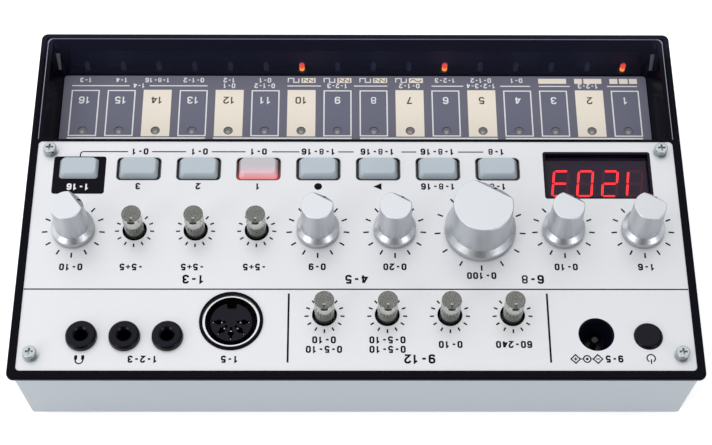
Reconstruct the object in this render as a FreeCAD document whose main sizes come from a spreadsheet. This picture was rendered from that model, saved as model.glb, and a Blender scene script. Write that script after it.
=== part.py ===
import FreeCAD, Part
import math
import os
import Sketcher
from FreeCAD import Placement, Rotation, Vector

doc = FreeCAD.newDocument("BassSynthesizer")
sheet = doc.addObject("Spreadsheet::Sheet", "Sizes")


# Lengths

class Size:
    """A length: its value, and the sheet expression it comes from."""

    def __init__(self, value, text):
        self.value = value
        self.text = text

    def __add__(self, other):
        other = as_size(other)
        return Size(self.value + other.value, f"({self.text} + {other.text})")

    def __sub__(self, other):
        other = as_size(other)
        return Size(self.value - other.value, f"({self.text} - {other.text})")

    def __mul__(self, other):
        other = as_size(other)
        return Size(self.value * other.value, f"({self.text} * {other.text})")

    def __truediv__(self, other):
        other = as_size(other)
        return Size(self.value / other.value, f"({self.text} / {other.text})")

    def __neg__(self):
        return Size(-self.value, f"(0 - {self.text})")


def as_size(number):
    """A plain factor or count as a Size."""
    return number if isinstance(number, Size) else Size(float(number), f"({number:.6f})")


size_count = 0


def size(alias, value):
    """Writes one length into the sheet and returns it."""
    global size_count
    size_count += 1
    sheet.set(f"A{size_count}", alias)
    sheet.set(f"B{size_count}", str(value))
    sheet.setAlias(f"B{size_count}", alias)
    return Size(float(value), f"Sizes.{alias}")


def bind(thing, prop, length):
    """Ties a property to the sheet."""
    thing.setExpression(prop, length.text)


# Case sizes

foot_rise = size("foot_rise", 1.6)
foot_radius = size("foot_radius", 4.5)
foot_out = size("foot_out", 79.0)
foot_front = size("foot_front", -48.0)
foot_back = size("foot_back", 49.0)
rim_half_width = size("rim_half_width", 96.75)
rim_half_depth = size("rim_half_depth", 57.75)
rim_top = size("rim_top", 31.3)
rim_thick = size("rim_thick", 1.2)
rim_round = size("rim_round", 0.5)
case_corner = size("case_corner", 2.0)
shell_inset = size("shell_inset", 1.25)
shell_taper = size("shell_taper", 1.0)
shell_base_round = size("shell_base_round", 0.5)
shell_corner = size("shell_corner", 1.0)
hollow_corner = size("hollow_corner", 1.2)
wall = size("wall", 1.6)
lip_thick = size("lip_thick", 0.6)
lip_drop = size("lip_drop", 1.5)
seam_gap = size("seam_gap", 0.1)
tongue_drop = size("tongue_drop", 1.4)
board_low = size("board_low", 20.4)
board_thick = size("board_thick", 1.6)
board_half_width = size("board_half_width", 91.5)
board_front = size("board_front", -16.5)
board_back = size("board_back", 53.5)
touch_board_top = size("touch_board_top", 20.5)
touch_board_half_width = size("touch_board_half_width", 92.6)
touch_board_front = size("touch_board_front", -53.6)
touch_board_back = size("touch_board_back", -18.2)
screw_x = size("screw_x", 90.5)
screw_back = size("screw_back", 50.4)
screw_front = size("screw_front", -15.6)
screw_shank = size("screw_shank", 1.1)
panel_head_radius = size("panel_head_radius", 1.9)
panel_head_rise = size("panel_head_rise", 1.9)
washer_radius = size("washer_radius", 2.3)
washer_thick = size("washer_thick", 0.5)
panel_screw_reach = size("panel_screw_reach", 5.0)
case_head_radius = size("case_head_radius", 2.2)
case_head_thick = size("case_head_thick", 1.4)
case_cross_deep = size("case_cross_deep", 0.55)
head_gap = size("head_gap", 0.25)
post_radius = size("post_radius", 2.4)
post_foot_half = size("post_foot_half", 3.2)
post_foot_top = size("post_foot_top", 7.5)
head_seat = size("head_seat", 5.0)
case_screw_top = size("case_screw_top", 25.0)

# Battery bay sizes

bay_half_width = size("bay_half_width", 78.0)
bay_front = size("bay_front", 2.0)
bay_back = size("bay_back", 34.0)
bay_wall = size("bay_wall", 2.0)
bay_roof = size("bay_roof", 1.2)
cover_half_width = size("cover_half_width", 80.0)
cover_front = size("cover_front", 0.8)
cover_back = size("cover_back", 36.0)
cover_gap = size("cover_gap", 0.15)
cover_travel = size("cover_travel", 6.0)
tab_reach = size("tab_reach", 1.2)
tab_length = size("tab_length", 7.0)
tab_thick = size("tab_thick", 0.7)
tab_low = size("tab_low", 2.2)
tab_first = size("tab_first", 4.0)
tab_second = size("tab_second", 22.0)
cell_radius = size("cell_radius", 7.25)
cell_length = size("cell_length", 50.5)
cell_level = size("cell_level", 11.6)
cell_row_front = size("cell_row_front", 10.6)
cell_row_back = size("cell_row_back", 25.4)
contact_thick = size("contact_thick", 0.4)
contact_plate = size("contact_plate", 10.8)
contact_stud = size("contact_stud", 2.9)

# Speaker sizes

speaker_x = size("speaker_x", -60.0)
speaker_y = size("speaker_y", -28.0)
speaker_radius = size("speaker_radius", 15.0)
speaker_deep = size("speaker_deep", 9.0)
speaker_rim = size("speaker_rim", 1.8)
speaker_rim_thick = size("speaker_rim_thick", 0.8)
speaker_ledge = size("speaker_ledge", 0.75)
magnet_radius = size("magnet_radius", 7.5)
magnet_rise = size("magnet_rise", 5.4)
basket_rise = size("basket_rise", 4.5)
basket_thick = size("basket_thick", 0.75)
cone_radius = size("cone_radius", 12.2)
cone_neck = size("cone_neck", 6.0)
cone_lift = size("cone_lift", 0.1)
cone_rise = size("cone_rise", 3.8)
cone_dome = size("cone_dome", 3.1)
paper_thick = size("paper_thick", 0.4)
grille_slot_width = size("grille_slot_width", 2.0)
grille_slot_length = size("grille_slot_length", 20.0)
grille_pitch = size("grille_pitch", 4.2)
grille_shorter = size("grille_shorter", 3.0)
grille_corner = size("grille_corner", 0.98)

# Lower case sizes

strut_radius = size("strut_radius", 2.5)
strut_side_x = size("strut_side_x", 84.0)
strut_front_y = size("strut_front_y", -48.0)
strut_middle_x = size("strut_middle_x", 30.0)
strut_middle_y = size("strut_middle_y", -26.0)
speaker_wall = size("speaker_wall", 1.2)
speaker_collar_top = size("speaker_collar_top", 6.6)

# Upper case sizes

plate_top = size("plate_top", 31.0)
plate_thick = size("plate_thick", 0.8)
plate_half_width = size("plate_half_width", 94.3)
plate_front = size("plate_front", -18.9)
plate_back = size("plate_back", 55.15)
plate_corner = size("plate_corner", 1.2)
seat_gap = size("seat_gap", 0.1)
opening_half_width = size("opening_half_width", 89.2)
opening_front = size("opening_front", -14.6)
opening_back = size("opening_back", 52.4)
boss_radius = size("boss_radius", 2.5)
pilot_low = size("pilot_low", 25.4)
rim_step = size("rim_step", 0.4)
rim_flat = size("rim_flat", 1.5)
recess_top_half_width = size("recess_top_half_width", 93.2)
recess_top_front = size("recess_top_front", -55.7)
recess_low_half_width = size("recess_low_half_width", 90.6)
recess_low_front = size("recess_low_front", -49.0)
recess_back = size("recess_back", -19.6)
recess_corner = size("recess_corner", 1.0)
riser_back = size("riser_back", -17.6)
tub_gap = size("tub_gap", 0.15)
strip_top = size("strip_top", 21.3)

# Display sizes

display_x = size("display_x", -71.25)
display_y = size("display_y", -7.5)
display_width = size("display_width", 31.9)
display_depth = size("display_depth", 16.0)
display_corner = size("display_corner", 0.8)
display_sink = size("display_sink", 2.1)
display_wall = size("display_wall", 0.6)
display_lip = size("display_lip", 0.1)
window_thick = size("window_thick", 1.0)
display_flange = size("display_flange", 0.55)
display_flange_thick = size("display_flange_thick", 1.0)
display_gap = size("display_gap", 0.1)
module_width = size("module_width", 30.1)
module_depth = size("module_depth", 14.0)
module_rise = size("module_rise", 5.8)
module_y = size("module_y", -6.6)

# Step light lens sizes

lens_half_width = size("lens_half_width", 89.0)
lens_low = size("lens_low", 21.6)
lens_high = size("lens_high", 28.0)
lens_thick = size("lens_thick", 0.7)
lens_gap = size("lens_gap", 0.05)

# Control places

column_first = size("column_first", 81.65)
column_pitch = size("column_pitch", 17.63)
knob_row = size("knob_row", 10.95)
envelope_row = size("envelope_row", 38.05)
button_row = size("button_row", -9.5)
key_pitch = size("key_pitch", 11.14)
lfo_amount_x = size("lfo_amount_x", 11.1)
lfo_rate_x = size("lfo_rate_x", -11.1)
cutoff_x = size("cutoff_x", -35.8)
peak_x = size("peak_x", -59.9)
octave_x = size("octave_x", -82.9)
envelope_first = size("envelope_first", 9.0)

# Socket sizes

power_x = size("power_x", -81.6)
power_y = size("power_y", 44.7)
power_hole = size("power_hole", 4.1)
power_cap_radius = size("power_cap_radius", 3.95)
inlet_x = size("inlet_x", -67.1)
inlet_y = size("inlet_y", 44.1)
inlet_mouth = size("inlet_mouth", 5.05)
inlet_wall = size("inlet_wall", 0.35)
inlet_bore = size("inlet_bore", 2.85)
inlet_funnel = size("inlet_funnel", 4.0)
inlet_floor = size("inlet_floor", 22.8)
inlet_pin = size("inlet_pin", 1.0)
inlet_pin_top = size("inlet_pin_top", 27.5)
midi_x = size("midi_x", 35.2)
midi_y = size("midi_y", 40.0)
midi_radius = size("midi_radius", 9.0)
midi_gap = size("midi_gap", 0.04)
midi_rise = size("midi_rise", 0.5)
midi_round = size("midi_round", 0.3)
shield_outer = size("shield_outer", 8.05)
shield_inner = size("shield_inner", 7.4)
shield_sink = size("shield_sink", 0.1)
insert_radius = size("insert_radius", 5.85)
insert_sink = size("insert_sink", 0.7)
midi_floor = size("midi_floor", 22.8)
notch_width = size("notch_width", 2.7)
notch_depth = size("notch_depth", 1.7)
slot_near = size("slot_near", 1.55)
slot_far = size("slot_far", 5.35)
slot_width = size("slot_width", 0.78)
slot_bulge = size("slot_bulge", 0.85)
slot_bulge_place = size("slot_bulge_place", 3.5)
slot_deep = size("slot_deep", 5.0)
jack_first = size("jack_first", 52.8)
jack_pitch = size("jack_pitch", 12.0)
jack_y = size("jack_y", 44.85)
jack_bezel = size("jack_bezel", 4.35)
jack_bore = size("jack_bore", 1.8)
jack_mouth = size("jack_mouth", 2.3)
jack_mouth_deep = size("jack_mouth_deep", 0.5)
jack_rise = size("jack_rise", 1.9)
jack_round = size("jack_round", 0.9)
jack_block_top = size("jack_block_top", 29.2)
hole_gap = size("hole_gap", 0.1)
stem_hole = size("stem_hole", 3.53)
knob_hole = size("knob_hole", 3.8)
button_hole_width = size("button_hole_width", 12.8)
button_hole_depth = size("button_hole_depth", 7.4)
button_corner = size("button_corner", 1.2)
plate_screw_hole = size("plate_screw_hole", 1.3)

# Front panel sizes

head_round = size("head_round", 0.3)
cross_length = size("cross_length", 2.2)
cross_width = size("cross_width", 0.6)
cross_deep = size("cross_deep", 1.1)

# Touch strip sizes

strip_gap = size("strip_gap", 0.15)
key_light_y = size("key_light_y", -28.8)
key_light_hole = size("key_light_hole", 1.43)
key_light_radius = size("key_light_radius", 1.33)
key_light_top = size("key_light_top", 21.1)
step_light_y = size("step_light_y", -52.05)
step_light_radius = size("step_light_radius", 0.8)
step_light_top = size("step_light_top", 23.8)
light_base = size("light_base", 0.1)

# Knob sizes

knob_gap = size("knob_gap", 0.25)
knob_top = size("knob_top", 45.7)
knob_edge = size("knob_edge", 1.95)
knob_collar = size("knob_collar", 1.3)
knob_round = size("knob_round", 0.3)
knob_flange = size("knob_flange", 6.15)
knob_low_radius = size("knob_low_radius", 4.9)
knob_top_radius = size("knob_top_radius", 4.55)
knob_chord = size("knob_chord", 2.9)
cutoff_flange = size("cutoff_flange", 10.25)
cutoff_low_radius = size("cutoff_low_radius", 8.95)
cutoff_top_radius = size("cutoff_top_radius", 8.45)
cutoff_chord = size("cutoff_chord", 5.65)
cutoff_top = size("cutoff_top", 46.3)
cutoff_edge = size("cutoff_edge", 1.8)
cutoff_collar = size("cutoff_collar", 1.75)
facet_reach = size("facet_reach", 5.0)
facet_slope = size("facet_slope", 1.28)
shaft_radius = size("shaft_radius", 3.0)
shaft_low = size("shaft_low", 24.0)
shaft_top = size("shaft_top", 41.0)
shaft_flat = size("shaft_flat", 1.5)
shaft_flat_low = size("shaft_flat_low", 32.0)
turning_gap = size("turning_gap", 0.05)

# Stem sizes

stem_radius = size("stem_radius", 2.8)
stem_top = size("stem_top", 40.7)
stem_low = size("stem_low", 28.6)
stem_round = size("stem_round", 0.25)
spindle_radius = size("spindle_radius", 2.0)
spindle_low = size("spindle_low", 23.2)
stem_slot_width = size("stem_slot_width", 0.7)
stem_slot_from = size("stem_slot_from", 1.1)
stem_slot_deep = size("stem_slot_deep", 1.0)

# Button sizes

cap_width = size("cap_width", 11.4)
cap_depth = size("cap_depth", 6.8)
cap_top_width = size("cap_top_width", 9.9)
cap_top_front = size("cap_top_front", -3.2)
cap_top_back = size("cap_top_back", 2.1)
cap_rise = size("cap_rise", 1.3)
cap_corner = size("cap_corner", 1.0)
cap_top_corner = size("cap_top_corner", 1.3)
cap_round = size("cap_round", 0.15)
cap_flange = size("cap_flange", 0.9)
cap_flange_low = size("cap_flange_low", 29.2)
cap_flange_thick = size("cap_flange_thick", 0.8)
nub_radius = size("nub_radius", 1.6)
nub_gap = size("nub_gap", 0.85)
power_flange = size("power_flange", 4.7)
power_cap_rise = size("power_cap_rise", 0.95)
power_cap_round = size("power_cap_round", 0.9)

# Board piece sizes

pot_width = size("pot_width", 9.5)
pot_depth = size("pot_depth", 11.0)
pot_top = size("pot_top", 28.5)
bushing_radius = size("bushing_radius", 3.5)
bushing_top = size("bushing_top", 30.0)
trimmer_width = size("trimmer_width", 9.0)
trimmer_top = size("trimmer_top", 28.3)
switch_width = size("switch_width", 6.0)
switch_top = size("switch_top", 25.5)
plunger_radius = size("plunger_radius", 1.75)
plunger_top = size("plunger_top", 26.4)
power_switch_width = size("power_switch_width", 8.0)
power_switch_top = size("power_switch_top", 25.0)
inlet_width = size("inlet_width", 12.0)
inlet_depth = size("inlet_depth", 14.0)
midi_width = size("midi_width", 20.0)
midi_back = size("midi_back", 51.0)
midi_front = size("midi_front", 30.5)
jack_width = size("jack_width", 9.6)
jack_depth = size("jack_depth", 12.0)
jack_floor = size("jack_floor", 22.5)
chip_width = size("chip_width", 7.0)
chip_rise = size("chip_rise", 1.6)
chip_y = size("chip_y", 25.0)
chip_pitch = size("chip_pitch", 22.0)
chip_x = size("chip_x", -30.0)
can_radius = size("can_radius", 2.5)
can_rise = size("can_rise", 5.5)
can_x = size("can_x", -75.0)
can_y = size("can_y", 30.0)
can_pitch = size("can_pitch", 8.0)

doc.recompute()


# Drawing helpers

class Drawing:
    """Lines, arcs and circles for one sketch, with the lengths that hold them."""

    def __init__(self):
        self.geometry = []
        self.constraints = []
        self.lengths = {}

    def add(self, piece):
        self.geometry.append(piece)
        return len(self.geometry) - 1

    def hold(self, kind, *places):
        self.constraints.append(Sketcher.Constraint(kind, *places))

    def measure(self, kind, *places, length):
        self.lengths[len(self.constraints)] = length
        self.constraints.append(Sketcher.Constraint(kind, *places, length.value))

    def place(self, piece, point, x, y):
        """Holds a point of a piece at x and y from the sketch's origin."""
        self.measure("DistanceX", -1, 1, piece, point, length=x)
        self.measure("DistanceY", -1, 1, piece, point, length=y)

    def line(self, start, end):
        return self.add(Part.LineSegment(Vector(*start, 0), Vector(*end, 0)))

    def arc(self, centre, radius, first, last):
        circle = Part.Circle(Vector(*centre, 0), Vector(0, 0, 1), radius)
        return self.add(Part.ArcOfCircle(circle, first, last))


def disc(x, y, radius):
    """A circle held by its centre and radius."""
    def draw(drawing):
        centre = Vector(x.value, y.value, 0)
        piece = drawing.add(Part.Circle(centre, Vector(0, 0, 1), radius.value))
        drawing.place(piece, 3, x, y)
        drawing.measure("Radius", piece, length=radius)
    return draw


def outline(*points):
    """A closed outline whose corners are all held."""
    def draw(drawing):
        corners = [(x.value, y.value) for x, y in points]
        pieces = [drawing.line(a, b) for a, b in zip(corners, corners[1:] + corners[:1])]
        for index, piece in enumerate(pieces):
            drawing.hold("Coincident", pieces[index - 1], 2, piece, 1)
            drawing.place(piece, 1, *points[index])
    return draw


def box(left, right, front, back):
    """A rectangle held by its four sides."""
    return outline((left, front), (right, front), (right, back), (left, back))


def centred(x, y, width, depth):
    """A rectangle round a centre."""
    return box(x - width / 2, x + width / 2, y - depth / 2, y + depth / 2)


def round_box(left, right, front, back, corner):
    """A rectangle with rounded corners, held by its four sides and its corner radius."""
    def draw(drawing):
        x0, x1 = left.value, right.value
        y0, y1 = front.value, back.value
        r = corner.value
        quarter = math.pi / 2
        low = drawing.line((x0 + r, y0), (x1 - r, y0))
        low_right = drawing.arc((x1 - r, y0 + r), r, -quarter, 0)
        side_right = drawing.line((x1, y0 + r), (x1, y1 - r))
        high_right = drawing.arc((x1 - r, y1 - r), r, 0, quarter)
        high = drawing.line((x1 - r, y1), (x0 + r, y1))
        high_left = drawing.arc((x0 + r, y1 - r), r, quarter, 2 * quarter)
        side_left = drawing.line((x0, y1 - r), (x0, y0 + r))
        low_left = drawing.arc((x0 + r, y0 + r), r, 2 * quarter, 3 * quarter)
        ring = [low, low_right, side_right, high_right, high, high_left, side_left, low_left]
        for index, piece in enumerate(ring):
            drawing.hold("Tangent", ring[index - 1], 2, piece, 1)
        drawing.hold("Horizontal", low)
        drawing.hold("Horizontal", high)
        drawing.hold("Vertical", side_right)
        drawing.hold("Vertical", side_left)
        for arc in (high_right, high_left, low_left):
            drawing.hold("Equal", low_right, arc)
        drawing.measure("Radius", low_right, length=corner)
        drawing.measure("DistanceX", -1, 1, side_left, 1, length=left)
        drawing.measure("DistanceX", -1, 1, side_right, 1, length=right)
        drawing.measure("DistanceY", -1, 1, low, 1, length=front)
        drawing.measure("DistanceY", -1, 1, high, 1, length=back)
    return draw


def round_centred(x, y, width, depth, corner):
    """A rounded rectangle round a centre."""
    return round_box(x - width / 2, x + width / 2, y - depth / 2, y + depth / 2, corner)


def sketch_on(body, name, plane, offset, shapes):
    """A sketch on one of the body's own planes, moved along it by an offset."""
    sketch = body.newObject("Sketcher::SketchObject", f"{body.Label}_{name}_sketch")
    role_plane = next(item for item in body.Origin.OriginFeatures if item.Role == plane)
    sketch.AttachmentSupport = (role_plane, [""])
    sketch.MapMode = "FlatFace"
    bind(sketch, "AttachmentOffset.Base.z", offset)
    drawing = Drawing()
    for shape in shapes:
        shape(drawing)
    sketch.addGeometry(drawing.geometry, False)
    sketch.addConstraint(drawing.constraints)
    for index, length in drawing.lengths.items():
        sketch.setExpression(f"Constraints[{index}]", length.text)
    return sketch


# Body helpers

exported = []


def new_body(label, x=None, y=None, turn=0):
    """A named piece, at its own place and turned about its upright axis."""
    body = doc.addObject("PartDesign::Body", label)
    body.Label = label
    body.AllowCompound = True
    if x is not None:
        body.Placement = Placement(Vector(x.value, y.value, 0), Rotation(Vector(0, 0, 1), turn))
        bind(body, "Placement.Base.x", x)
        bind(body, "Placement.Base.y", y)
    exported.append(body)
    return body


def finish(body, feature):
    """Brings the piece up to date after a new feature."""
    body.Tip = feature
    doc.recompute()
    return feature


def pad(body, name, low, high, *shapes, plane="XY_Plane"):
    """Material between two levels of a plane."""
    start = -high if plane == "XZ_Plane" else low
    feature = body.newObject("PartDesign::Pad", f"{body.Label}_{name}")
    feature.Profile = sketch_on(body, name, plane, start, shapes)
    bind(feature, "Length", high - low)
    return finish(body, feature)


def pocket(body, name, low, high, *shapes, plane="XY_Plane"):
    """A cut between two levels of a plane."""
    start = -low if plane == "XZ_Plane" else high
    feature = body.newObject("PartDesign::Pocket", f"{body.Label}_{name}")
    feature.Profile = sketch_on(body, name, plane, start, shapes)
    bind(feature, "Length", high - low)
    return finish(body, feature)


def tapered(body, name, kind, low, high, shape, spread):
    """A solid or a cut whose outline grows evenly by a spread from the low to the high level."""
    feature = body.newObject(f"PartDesign::{kind}", f"{body.Label}_{name}")
    feature.Profile = sketch_on(body, name, "XY_Plane", low, [shape])
    feature.Reversed = kind == "Pocket"
    bind(feature, "Length", high - low)
    feature.setExpression("TaperAngle", f"atan({(spread / (high - low)).text})")
    return finish(body, feature)


def turned(body, name, *points, kind="Revolution"):
    """A profile of radius and height points, turned about the piece's upright axis."""
    feature = body.newObject(f"PartDesign::{kind}", f"{body.Label}_{name}")
    sketch = sketch_on(body, name, "XZ_Plane", as_size(0), [outline(*points)])
    feature.Profile = sketch
    feature.ReferenceAxis = (sketch, ["V_Axis"])
    feature.Angle = 360
    return finish(body, feature)


def repeat(body, name, feature, pitch, count):
    """Copies of a feature along X."""
    pattern = body.newObject("PartDesign::LinearPattern", f"{body.Label}_{name}")
    pattern.Originals = [feature]
    x_axis = next(item for item in body.Origin.OriginFeatures if item.Role == "X_Axis")
    pattern.Direction = (x_axis, [""])
    bind(pattern, "Length", pitch * (count - 1))
    pattern.Occurrences = count
    return finish(body, pattern)


def fillet(body, name, radius, wanted):
    """Rounds the edges of a piece, in its own frame, that a test picks."""
    base = body.Tip
    edges = enumerate(base.Shape.Edges, 1)
    names = [f"Edge{number}" for number, edge in edges if wanted(edge)]
    feature = body.newObject("PartDesign::Fillet", f"{body.Label}_{name}")
    feature.Base = (base, names)
    bind(feature, "Radius", radius)
    return finish(body, feature)


def near(value, length):
    return abs(value - length.value) < 0.01


def between_levels(low, high):
    """Picks the edges that run from one level to another."""
    def wanted(edge):
        return near(edge.BoundBox.ZMin, low) and near(edge.BoundBox.ZMax, high)
    return wanted


def at_level(level):
    """Picks the edges that lie at one level."""
    return between_levels(level, level)


# Levels and outlines of the case

none = as_size(0)

board_top = board_low + board_thick
touch_board_low = touch_board_top - board_thick
rim_low = rim_top - rim_thick
floor_top = foot_rise + wall
tongue_low = rim_low - tongue_drop
lip_low = rim_low - lip_drop
shell_half_width = rim_half_width - shell_inset
shell_half_depth = rim_half_depth - shell_inset
base_half_width = shell_half_width - shell_taper
base_half_depth = shell_half_depth - shell_taper
tongue_half_width = shell_half_width - lip_thick - seam_gap
tongue_half_depth = shell_half_depth - lip_thick - seam_gap
screw_places = [(x, y) for x in (-screw_x, screw_x) for y in (screw_front, screw_back)]

# Lower case

bottom = new_body("bottom_case")
tapered(
    bottom, "shell", "Pad", foot_rise, rim_low, centred(
        none, none, base_half_width * 2, base_half_depth * 2), shell_taper)
fillet(bottom, "corners", shell_corner, between_levels(foot_rise, rim_low))
fillet(bottom, "base_round", shell_base_round, at_level(foot_rise))
tapered(
    bottom, "hollow", "Pocket", floor_top, rim_low, round_centred(
        none, none, (base_half_width - wall) * 2, (base_half_depth - wall) * 2,
        hollow_corner), shell_taper)
pocket(
    bottom, "lip", lip_low, rim_low, round_centred(
        none, none, (tongue_half_width + seam_gap) * 2, (tongue_half_depth + seam_gap) * 2,
        case_corner))
bay_outer_half = bay_half_width + bay_wall + bay_wall
bay_outer_back = cover_back + cover_travel + bay_wall
pad(
    bottom, "bay_block", floor_top, board_low,
    box(-bay_outer_half, bay_outer_half, bay_front - bay_wall, bay_back + bay_wall))
pad(
    bottom, "bay_shelf", floor_top, floor_top + wall,
    box(-bay_outer_half, bay_outer_half, bay_back + bay_wall, bay_outer_back))
pocket(
    bottom, "bay", floor_top, board_low - bay_roof,
    box(-bay_half_width, bay_half_width, bay_front, bay_back))
pocket(
    bottom, "cover_recess", foot_rise, floor_top,
    box(-cover_half_width, cover_half_width, cover_front, cover_back + cover_travel))
tab_starts = (tab_first, tab_second)
pocket(
    bottom, "tab_grooves", tab_low - cover_gap, tab_low + tab_thick + cover_gap,
    *[box(-cover_half_width - tab_reach - cover_gap, cover_half_width + tab_reach + cover_gap,
          start - cover_gap, start + tab_length + cover_travel + cover_gap)
      for start in tab_starts])
pocket(
    bottom, "tab_exits", foot_rise, tab_low,
    *[box(-cover_half_width - tab_reach - cover_gap, cover_half_width + tab_reach + cover_gap,
          start + cover_travel - cover_gap, start + cover_travel + tab_length + cover_gap)
      for start in tab_starts])
foot_block_x = base_half_width - lip_thick
foot_block_y = base_half_depth - lip_thick
pad(
    bottom, "post_feet", floor_top, post_foot_top,
    box(screw_x - post_foot_half, foot_block_x, screw_back - post_foot_half, foot_block_y),
    box(-foot_block_x, post_foot_half - screw_x, screw_back - post_foot_half, foot_block_y),
    box(screw_x - post_foot_half, foot_block_x,
        screw_front - post_foot_half, screw_front + post_foot_half),
    box(-foot_block_x, post_foot_half - screw_x,
        screw_front - post_foot_half, screw_front + post_foot_half))
pad(
    bottom, "posts", post_foot_top, board_low,
    *[disc(x, y, post_radius) for x, y in screw_places])
pocket(
    bottom, "head_seats", foot_rise, head_seat,
    *[disc(x, y, case_head_radius + head_gap) for x, y in screw_places])
pocket(
    bottom, "screw_bores", head_seat, board_low,
    *[disc(x, y, screw_shank + head_gap) for x, y in screw_places])
pad(
    bottom, "struts", floor_top, touch_board_low,
    disc(strut_side_x, strut_front_y, strut_radius),
    disc(-strut_side_x, strut_front_y, strut_radius),
    disc(strut_middle_x, strut_middle_y, strut_radius),
    disc(none, strut_front_y, strut_radius))
collar = pad(
    bottom, "speaker_collar", floor_top, speaker_collar_top,
    disc(speaker_x, speaker_y, speaker_radius + cover_gap),
    disc(speaker_x, speaker_y, speaker_radius + cover_gap + speaker_wall))
pocket(
    bottom, "grille", foot_rise, floor_top,
    *[round_centred(
        speaker_x + grille_pitch * step, speaker_y, grille_slot_width,
        grille_slot_length - grille_shorter * abs(step), grille_corner)
      for step in (-2, -1, 0, 1, 2)])

# Levels of the upper case

plate_low = plate_top - plate_thick
step_level = rim_top - rim_step
slope_run = recess_low_front - recess_top_front
slope_rise = step_level - strip_top


def slope_y(level):
    """The front wall of the recess at a level."""
    return recess_top_front + slope_run * (step_level - level) / slope_rise


# Upper case

top = new_body("top_case")
pad(top, "rim", rim_low, rim_top, round_centred(
    none, none, rim_half_width * 2, rim_half_depth * 2, case_corner))
fillet(top, "rim_round", rim_round, at_level(rim_top))
pad(top, "tongue", tongue_low, rim_low, round_centred(
    none, none, tongue_half_width * 2, tongue_half_depth * 2, case_corner))
tub_slope = shell_taper / (rim_low - floor_top)
tub_spread = tub_slope * (tongue_low - touch_board_top)
tub_inset = wall + tub_gap - tub_slope * (touch_board_top - floor_top)
tub_half_width = base_half_width - tub_inset
tub_front = tub_inset - base_half_depth
tapered(top, "tub", "Pad", touch_board_top, tongue_low, round_box(
    -tub_half_width, tub_half_width, tub_front, riser_back, case_corner), tub_spread)
step_half_width = rim_half_width - rim_flat
step_front = rim_flat - rim_half_depth
pocket(top, "rim_step", step_level, rim_top, round_box(
    -step_half_width, step_half_width, step_front, recess_back, recess_corner))
plate_y = (plate_front + plate_back) / 2
pocket(top, "plate_seat", plate_low, rim_top, round_centred(
    none, plate_y, (plate_half_width + seat_gap) * 2, plate_back - plate_front + seat_gap * 2,
    plate_corner))
pocket(top, "opening", tongue_low, plate_low, box(
    -opening_half_width, opening_half_width, opening_front, opening_back))
flange_half_width = display_width / 2 + display_flange
flange_half_depth = display_depth / 2 + display_flange
pocket(top, "display_seat", tongue_low, plate_low, centred(
    display_x, display_y, (flange_half_width + display_gap) * 2,
    (flange_half_depth + display_gap) * 2))
recess = top.newObject("PartDesign::SubtractiveLoft", "top_case_recess")
recess.Profile = sketch_on(top, "recess_high", "XY_Plane", step_level, [round_box(
    -recess_top_half_width, recess_top_half_width, recess_top_front, recess_back,
    recess_corner)])
recess.Sections = [sketch_on(top, "recess_low", "XY_Plane", strip_top, [round_box(
    -recess_low_half_width, recess_low_half_width, recess_low_front, recess_back,
    recess_corner)])]
finish(top, recess)
pocket(top, "strip_seat", touch_board_top, strip_top, round_box(
    -recess_low_half_width, recess_low_half_width, recess_low_front, recess_back,
    recess_corner))
pocket(
    top, "light_chamber", -lens_half_width - lens_gap, lens_half_width + lens_gap, outline(
        (tub_front - wall, touch_board_top - seam_gap),
        (slope_y(lens_low) - lens_thick, touch_board_top - seam_gap),
        (slope_y(lens_low) - lens_thick, lens_low),
        (slope_y(lens_low) + lens_thick, lens_low),
        (slope_y(lens_high) + lens_thick, lens_high),
        (tub_front - wall, lens_high)), plane="YZ_Plane")
pad(top, "bosses", board_top, plate_low, *[disc(x, y, boss_radius) for x, y in screw_places])
pocket(top, "upper_pilots", pilot_low, plate_low, *[
    disc(x, y, screw_shank) for x, y in screw_places])
pocket(top, "lower_pilots", board_top, pilot_low, *[
    disc(x, y, screw_shank) for x, y in screw_places])

lens = new_body("led_lens")
pad(lens, "bar", -lens_half_width, lens_half_width, outline(
    (slope_y(lens_low) - lens_thick, lens_low),
    (slope_y(lens_low), lens_low),
    (slope_y(lens_high), lens_high),
    (slope_y(lens_high) - lens_thick, lens_high)), plane="YZ_Plane")

# Control places

key_count = 16

knobs = (
    ("volume", column_first),
    ("lfo_amount", lfo_amount_x),
    ("lfo_rate", lfo_rate_x),
    ("cutoff", cutoff_x),
    ("peak", peak_x),
    ("octave", octave_x))
stems = (
    ("pitch_three", column_first - column_pitch, knob_row),
    ("pitch_two", column_first - column_pitch * 2, knob_row),
    ("pitch_one", column_first - column_pitch * 3, knob_row),
    ("sweep", envelope_first, envelope_row),
    ("decay", envelope_first - column_pitch, envelope_row),
    ("attack", envelope_first - column_pitch * 2, envelope_row),
    ("tempo", envelope_first - column_pitch * 3, envelope_row))
buttons = (
    "func", "mute_three", "mute_two", "mute_one", "record", "play", "step_mode", "memory")
button_places = [column_first - column_pitch * number for number in range(len(buttons))]

jack_places = [jack_first + jack_pitch * number for number in range(3)]

# Front panel

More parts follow.
